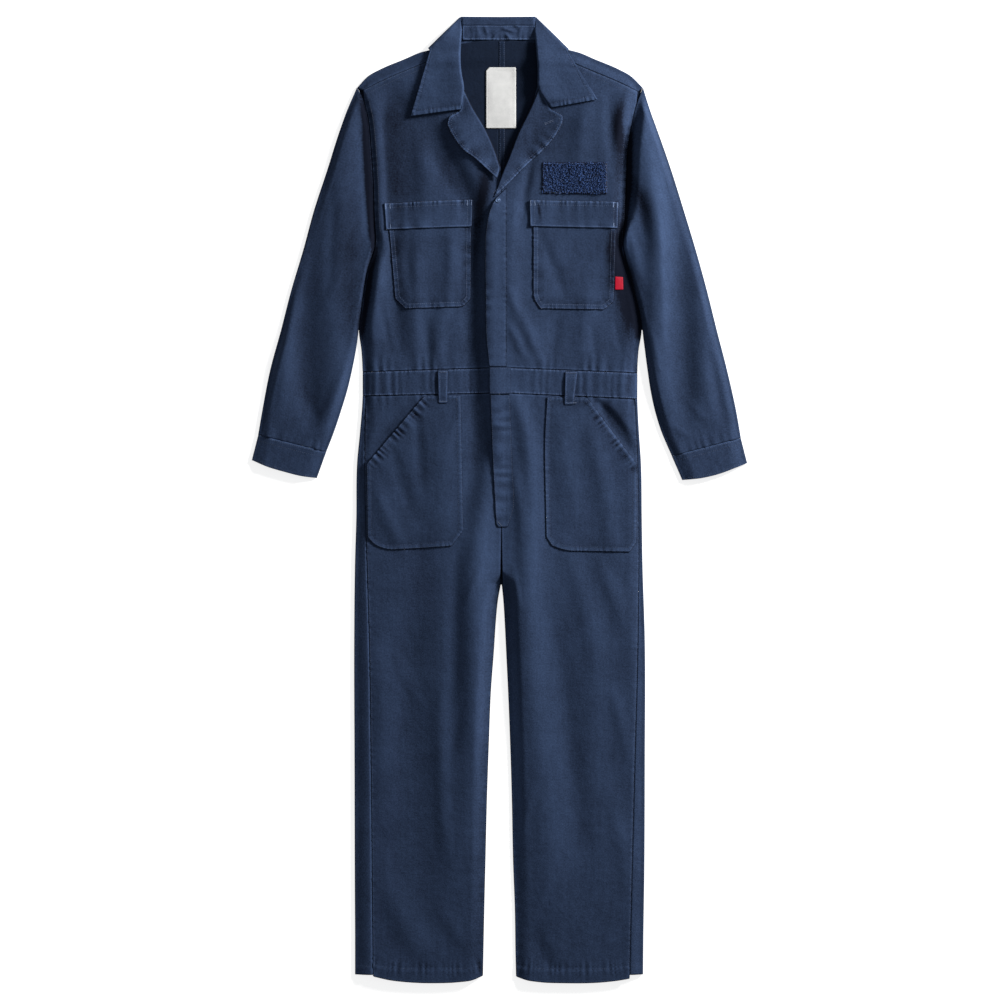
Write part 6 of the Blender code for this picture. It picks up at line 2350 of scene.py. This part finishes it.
# ---------------------------------------------------------------- waist
@dataclass
class Waist:
    """The waistband, front and back, and its two front loops."""

    sewing: Stitching
    thickness: float = BAND
    back_columns: int = 92
    back_rows: int = 12

    def front(self, side: Side) -> None:
        """Half of the band's front, drawn up along both its seams.

        Args:
            side: the wearer's side.
        """
        outline = mirrored(side, [(side.value * CENTRE, WAIST_BOTTOM), WAIST_FOOT[side],
                                  WAIST_END[side], (side.value * CENTRE, WAIST_TOP)])
        middle = mirrored(side, [(0.0, 1000.0), (229.0, 994.0)])
        seed = 4.0 + side.value
        lower, upper = outline[:2], outline[2:]
        piece = FlatCloth("band_front_" + side.word, rounded(outline), RELIEF.front, -CLOTH / 2,
                          self.thickness, 2.6, worn=0.5,
                          puckers=(Pucker(resampled(middle, 20), 15.0, 0.55, 34.0, seed, grows=190.0),
                                   Pucker(resampled(lower, 20), 8.0, 0.4, 5.0, seed + 1, 1.0),
                                   Pucker(resampled(upper, 20), 8.0, 0.4, 5.0, seed + 2, 1.0)))
        piece.make(FINISH.twill, "waistband_front_" + side.word, "waistband_back")
        for line in (resampled(lower, 12.0), resampled(upper, 12.0)):
            self.sewing.lay(shifted(line, piece.hand(line, 2.0) * 1.8), piece.top)

    def back(self) -> None:
        """The band behind, flat on the surface."""
        bottom = np.array(((-227.3, 974.3), (229.0, 969.3)))
        top = np.array(((-227.3, BACK_WAIST_TOP), (229.0, BACK_WAIST_TOP)))
        plan = ruled(bottom, top, np.linspace(0.0, 1.0, self.back_columns + 1),
                     ease_ends(self.back_rows, 0.5))
        x, y = plan[..., 0], plan[..., 1]
        to_seam = np.minimum(y - y[:1], y[-1:] - y)
        z = BACK_MID + 0.35 * (1 + ripple(x + 240.0, 21.0, 2.0)) * smooth(to_seam / 8.0)
        grids = [(np.dstack((x, y, z)), plan * MM, 0.3 * bell(to_seam, 2.0), True)]
        finish_grids(joined_grids("band_back", grids), "waistband_back", held=Held.LAID)

    def loop(self, side: Side, corners: Points) -> None:
        """A belt loop, sewn down at both ends and standing a little between them.

        Args:
            side: the wearer's side.
            corners: its corners.
        """
        corner = np.array(corners)
        (left, low), (right, high) = corner.min(axis=0), corner.max(axis=0)
        piece = FlatCloth("loop_belt_" + side.word, rounded(corners, 1.4), RELIEF.front,
                          level(2), 1.3, 1.8, worn=0.6, drop=0.7, rings=(0.45, 1.1, 2.0, 3.4),
                          lift=lambda x, y: 1.1 * smooth((high - 5.0 - y) / 9.0)
                          * smooth((y - low - 4.0) / 9.0))
        piece.make(FINISH.twill, "belt_loop_" + side.word, "band_front_" + side.word)
        for across in (-0.27, 0.27):
            x = corner[:, 0].mean() + across * (right - left)
            self.sewing.lay([(x, low + 1.5), (x, high - 1.5)], piece.top)
        for y in (low + 3.2, high - 3.0):
            self.sewing.tack((left + 2.6, y), (right - 2.6, y), piece.top, 2.0)

    def build(self) -> None:
        """Make the band and its loops."""
        for side in SIDES:
            self.front(side)
        self.back()
        self.loop(Side.RIGHT, [(-102.9, 1016.9), (-84.7, 1016.9), (-86.3, 962.0), (-101.3, 962.0)])
        self.loop(Side.LEFT, [(108.7, 1015.3), (130.3, 1015.3), (122.8, 959.5), (107.1, 959.5)])


# ---------------------------------------------------------------- trousers
HEM_CURVE = {
    Side.RIGHT: [(27.4, 11.6), (44.0, 5.0), (67.0, 1.7), (105.0, 0.0), (155.0, 1.7), (183.0, 5.0),
                 (210.0, 11.2)],
    Side.LEFT: [(27.4, 10.0), (44.0, 5.0), (66.0, 1.7), (107.0, 0.0), (175.0, 1.7), (202.0, 5.0),
                (216.0, 7.6)],
}
HIP_POCKETS = {
    Side.RIGHT: [(-125.3, 974.6), (-63.9, 975.9), (-59.8, 750.3), (-78.8, 725.4), (-132.0, 721.3),
                 (-186.8, 718.8), (-208.3, 727.1), (-219.5, 740.4), (-221.1, 861.5)],
    Side.LEFT: [(146.9, 970.6), (78.8, 973.6), (73.9, 898.1), (77.2, 740.4), (87.1, 725.4),
                (110.4, 717.1), (216.6, 715.5), (228.2, 732.1), (228.7, 861.5)],
}


@dataclass
class Leg:
    """One trouser leg: a front, a back wrapped round the outer edge, and the hip pocket."""

    side: Side
    sewing: Stitching
    spacing: float = 3.5
    back_rows: int = 170
    back_columns: int = 44
    fold_steps: int = 8
    front_steps: int = 7
    hem_inner: float = 11.6
    hem_outer: float = 13.8

    def hem_line(self) -> Array:
        """The hem's line of stitching across the front.

        Returns:
            Points of the line.
        """
        low = flowing(HEM_CURVE[self.side])
        return mirrored(self.side, np.column_stack((low[:, 0], np.maximum(low[:, 1] * 0.6, 0.0)
                                                    + HEM_DEPTH)))

    def hem(self, x: Array, y: Array) -> Array:
        """The turned hem: thicker below its stitching, drawn in along it.

        Args:
            x, y: the points' places in plan.

        Returns:
            The height at each point.
        """
        line = self.hem_line()
        gap = np.interp(np.abs(x), np.abs(line[:, 0]), line[:, 1]) - y
        return 0.8 * smooth((gap + 0.6) / 1.6) - 0.35 * bell(gap, 1.0, -0.4)

    def front(self) -> None:
        """The front of the leg."""
        side = self.side
        inner = section(INNER[side], 24.0, CROTCH)
        inner = inner + np.column_stack((1.3 * smooth((inner[:, 1] - 600.0) / 60.0), 0.0 * inner[:, 1]))
        seam = section(SEAM[side], 40.0, 930.0)
        waist = (float(at_height(SEAM[side], 974.0)), WAIST_FOOT[side][1])
        line = np.concatenate(([(side.value * CENTRE, WAIST_BOTTOM), (side.value * CENTRE, 748.0)], inner,
                               flowing(HEM_CURVE[side]), seam[::-1], [waist]))
        seed = 2.0 + side.value
        waist_line = resampled(mirrored(side, [(0.0, WAIST_BOTTOM), WAIST_FOOT[side]]), 20)
        outer_line = mirrored(side, section(SEAM[side], 12.0, 974.0))
        inner_line = mirrored(side, section(INNER[side], 12.0, CROTCH))
        hem_line = self.hem_line()
        piece = FlatCloth("leg_front_" + side.word, rounded(mirrored(side, line)),
                          RELIEF.front, -CLOTH / 2, CLOTH, self.spacing, lift=self.hem, worn=0.25,
                          puckers=(Pucker(waist_line, 17.0, 0.6, 16.0, 4.0 + side.value, grows=190.0),
                                   Pucker(outer_line, 13.0, 0.3, 6.0, seed + 1),
                                   Pucker(inner_line, 15.0, 0.25, 7.0, seed + 2),
                                   Pucker(hem_line, 9.0, 0.75, 10.0, seed + 3, 2.0)))
        piece.make(FINISH.twill, "trouser_front_" + side.word, "trouser_back_" + side.word)
        self.sewing.lay(hem_line, piece.top)
        self.sewing.lay(shifted(outer_line, side.value * -2.0)[3:-3], piece.top)

    def strip_height(self, x: Array, y: Array) -> Array:
        """Middle of the back's strip that shows in front, beyond the side seam.

        Args:
            x, y: the points' places in plan.

        Returns:
            The height at each point.
        """
        side = self.side
        out = side.value * x
        outer, seam = at_height(BODY[side], y) - FOLD_REACH, at_height(SEAM[side], y)
        low = BACK_MID + LAYER
        height = low + (RELIEF.front(x, y) - low) * smooth((outer - out) / 9.0)
        to_seam = out - seam
        height = height + 0.22 * ripple(y, 13.0, 3.0 + side.value) * bell(to_seam, 5.0)
        height = height - 0.4 * np.clip(1 - to_seam / 1.5, 0, 1)
        gap = self.hem_outer + 15.0 - y
        return height + 0.6 * smooth((gap + 0.6) / 1.6) - 0.3 * bell(gap, 1.0, -0.4)

    def back(self) -> None:
        """The back of the leg, round the outer edge to the seam in front."""
        side = self.side
        share = np.concatenate((np.linspace(0.0, 0.965, self.back_rows - 13), np.linspace(0.967, 1.0, 14)))
        start_inner, start_outer = BACK_WAIST_FOOT - SEAT, WAIST_FOOT[side][1] - SEAT
        inner_y = start_inner + (self.hem_inner - start_inner) * share
        outer_y = start_outer + (self.hem_outer - start_outer) * share
        inner = np.where(inner_y > CROTCH, side.value * CENTRE, at_height(INNER[side], inner_y)) + SEAT
        outer = at_height(BODY[side], outer_y) - FOLD_REACH
        seam = at_height(SEAM[side], outer_y) + SEAT
        across = np.linspace(0.0, 1.0, self.back_columns + 1)
        x = inner[:, None] + (outer - inner)[:, None] * across
        y = inner_y[:, None] + (outer_y - inner_y)[:, None] * across
        z = BACK_MID + RELIEF.under(side.value * x, y)
        reach, rise = (turn[None, 1:] for turn in half_turn(self.fold_steps))
        arc = np.dstack((outer[:, None] + reach, outer_y[:, None] + 0 * reach,
                         BACK_MID + rise + 0 * outer[:, None]))
        t = np.linspace(0.0, 1.0, self.front_steps + 1)[1:]
        front_x = outer[:, None] + (seam - outer)[:, None] * t
        front_y = np.repeat(outer_y[:, None], len(t), axis=1)
        height = self.strip_height(side.value * front_x, front_y)
        to_seam = front_x - seam[:, None]
        points = np.concatenate((np.dstack((x, y, z)), arc, np.dstack((front_x, front_y, height))),
                                axis=1)
        cut = np.dstack((side.value * (inner[:, None] + row_marks(points)), points[..., 1])) * MM
        fade = np.concatenate((0.0 * x, 0.0 * arc[..., 0], 0.2 * bell(to_seam, 2.0)), axis=1)
        points[..., 0] *= side.value
        grids = [(points, cut, fade, side is Side.RIGHT)]
        finish_grids(joined_grids("leg_back_" + side.word, grids), "trouser_back_" + side.word)
        y = self.hem_outer + 14.6
        start, end = float(at_height(SEAM[side], y)) + 1.5, float(at_height(BODY[side], y)) - 3.5
        self.sewing.lay(mirrored(side, [(start, y), (end, y)]),
                        lambda x, y: self.strip_height(x, y) + CLOTH / 2)

    def pocket(self, outline: Points) -> None:
        """The hip pocket: a slanted mouth with short gathers across it, and a rounded foot.

        Args:
            outline: its corners from the mouth's upper end, by the inner edge, round to the
                mouth's lower end.
        """
        side = self.side
        line = rounded(outline, 2.2, sharp=30.0)
        mouth = np.array((outline[-1], outline[0]))
        gathered = resampled(mouth, 10)
        seed = 6.0 + side.value

        def mouth_top(x: Array, y: Array) -> Array:
            """The mouth's edge stands up a little."""
            return 0.9 * (1 - smooth(nearest(x, y, mouth)[0] / 16.0))

        piece = FlatCloth("pocket_hip_" + side.word, line, RELIEF.front, level(1), CLOTH, 2.5,
                          puff=0.3, worn=0.3, drop=0.4, turned=7.4, lift=mouth_top,
                          puckers=(Pucker(resampled(closed(line), 10), 8.5, 0.26, 4.0, seed, 3.5),
                                   Pucker(gathered, 9.8, 0.95, 7.0, seed + 1, 9.0),
                                   Pucker(gathered, 34.0, 0.5, 22.0, seed + 4, 4.0)))
        piece.make(FINISH.twill, "hip_pocket_" + side.word, "leg_front_" + side.word)
        for off in (1.8, 7.4):
            self.sewing.lay(resampled(inner_ring(line, off), 2.0), piece.top)

    def build(self) -> None:
        """Make the leg and its pocket."""
        self.front()
        self.back()
        self.pocket(HIP_POCKETS[self.side])


# ---------------------------------------------------------------- studio
@dataclass
class Studio:
    """Pale floor, soft light and a camera straight above."""

    floor_size: float = 7.0
    floor_drop: float = 0.0006
    lens: float = 100.0
    film: float = 36.0
    look_x: float = 0.0008
    look_y: float = -0.0008
    look_height: float = 0.006
    light_place: tuple[float, float, float] = (2.55, 1.90, 1.16)
    light_size: float = 0.7
    power: float = 368.0
    glow: tuple[float, float, float] = (1.0, 0.99, 0.97)
    sky: tuple[float, float, float, float] = (0.95, 0.97, 1.0, 1.0)
    sky_strength: float = 0.36
    floor_grey: float = 0.42
    floor_glow: float = 0.76

    def floor(self) -> None:
        """A plain white floor."""
        bpy.ops.object.select_all(action="DESELECT")
        bpy.ops.mesh.primitive_plane_add(size=self.floor_size, location=(0.0, 0.0, -self.floor_drop))
        made = bpy.context.object
        made.name = "floor"
        kit = NodeKit("floor_white")
        kit.surface(Base_Color=(self.floor_grey,) * 3 + (1.0,), Roughness=0.9,
                    Specular_IOR_Level=0.1, Emission_Color=(1.0, 1.0, 1.0, 1.0),
                    Emission_Strength=self.floor_glow)
        made.data.materials.append(kit.material)

    def light(self) -> None:
        """A square soft light aimed at the middle of the suit."""
        data = bpy.data.lights.new("key", "AREA")
        data.shape, data.size, data.energy, data.color = "SQUARE", self.light_size, self.power, self.glow
        made = bpy.data.objects.new("key", data)
        made.location = self.light_place
        made.rotation_euler = Vector(self.light_place).to_track_quat("Z", "Y").to_euler()
        bpy.context.scene.collection.objects.link(made)

    def build(self) -> None:
        """Set the floor, the light, the surroundings and the camera."""
        self.floor()
        self.light()
        self.surroundings()
        self.camera()

    def surroundings(self) -> None:
        """An even pale sky."""
        world = bpy.data.worlds.new("surroundings")
        bpy.context.scene.world = world
        world.use_nodes = True
        sky = world.node_tree.nodes["Background"]
        sky.inputs["Color"].default_value = self.sky
        sky.inputs["Strength"].default_value = self.sky_strength

    def camera(self) -> None:
        """The camera, at the height from which the picture's width is right."""
        data = bpy.data.cameras.new("camera")
        data.lens, data.sensor_width = self.lens, self.film
        made = bpy.data.objects.new("camera", data)
        distance = PICTURE_WIDTH * MM * self.lens / self.film
        made.location = (self.look_x, self.look_y, distance + self.look_height)
        bpy.context.scene.collection.objects.link(made)
        bpy.context.scene.camera = made
        bpy.context.scene.view_settings.view_transform = "Standard"


def main() -> None:
    """Make the suit from the inside out, then its stitching and the studio."""
    logging.basicConfig(level=logging.INFO, format="%(message)s")
    seams = {name: Stitching("stitching_" + name) for name in ("neck", "body", "chest", "waist", "legs")}
    label = Stitching("stitching_label")
    tacks = Stitching("stitching_tacks", width=0.6)
    builders = [Neck(seams["neck"], label), Bodice(seams["body"]), Closing(seams["body"]),
                Chest(seams["chest"], tacks), Waist(seams["waist"])]
    builders += [Sleeve(side, seams["body"]) for side in SIDES]
    builders += [Leg(side, seams["legs"]) for side in SIDES]
    for builder in builders:
        builder.build()
        log.info("%s built", type(builder).__name__)
    for name, sewing in seams.items():
        # the body's and legs' seams get the thread painted darker as in shade
        sewing.build(FINISH.painted_shade_thread if name in ("legs", "body") else FINISH.thread)
    tacks.build(FINISH.tack)
    label.build(FINISH.white)
    for made in bpy.data.objects:
        if made.type == "MESH":
            log.info("%s: %d faces", made.name, len(made.data.polygons))
    Studio().build()


if __name__ == "__main__":
    main()
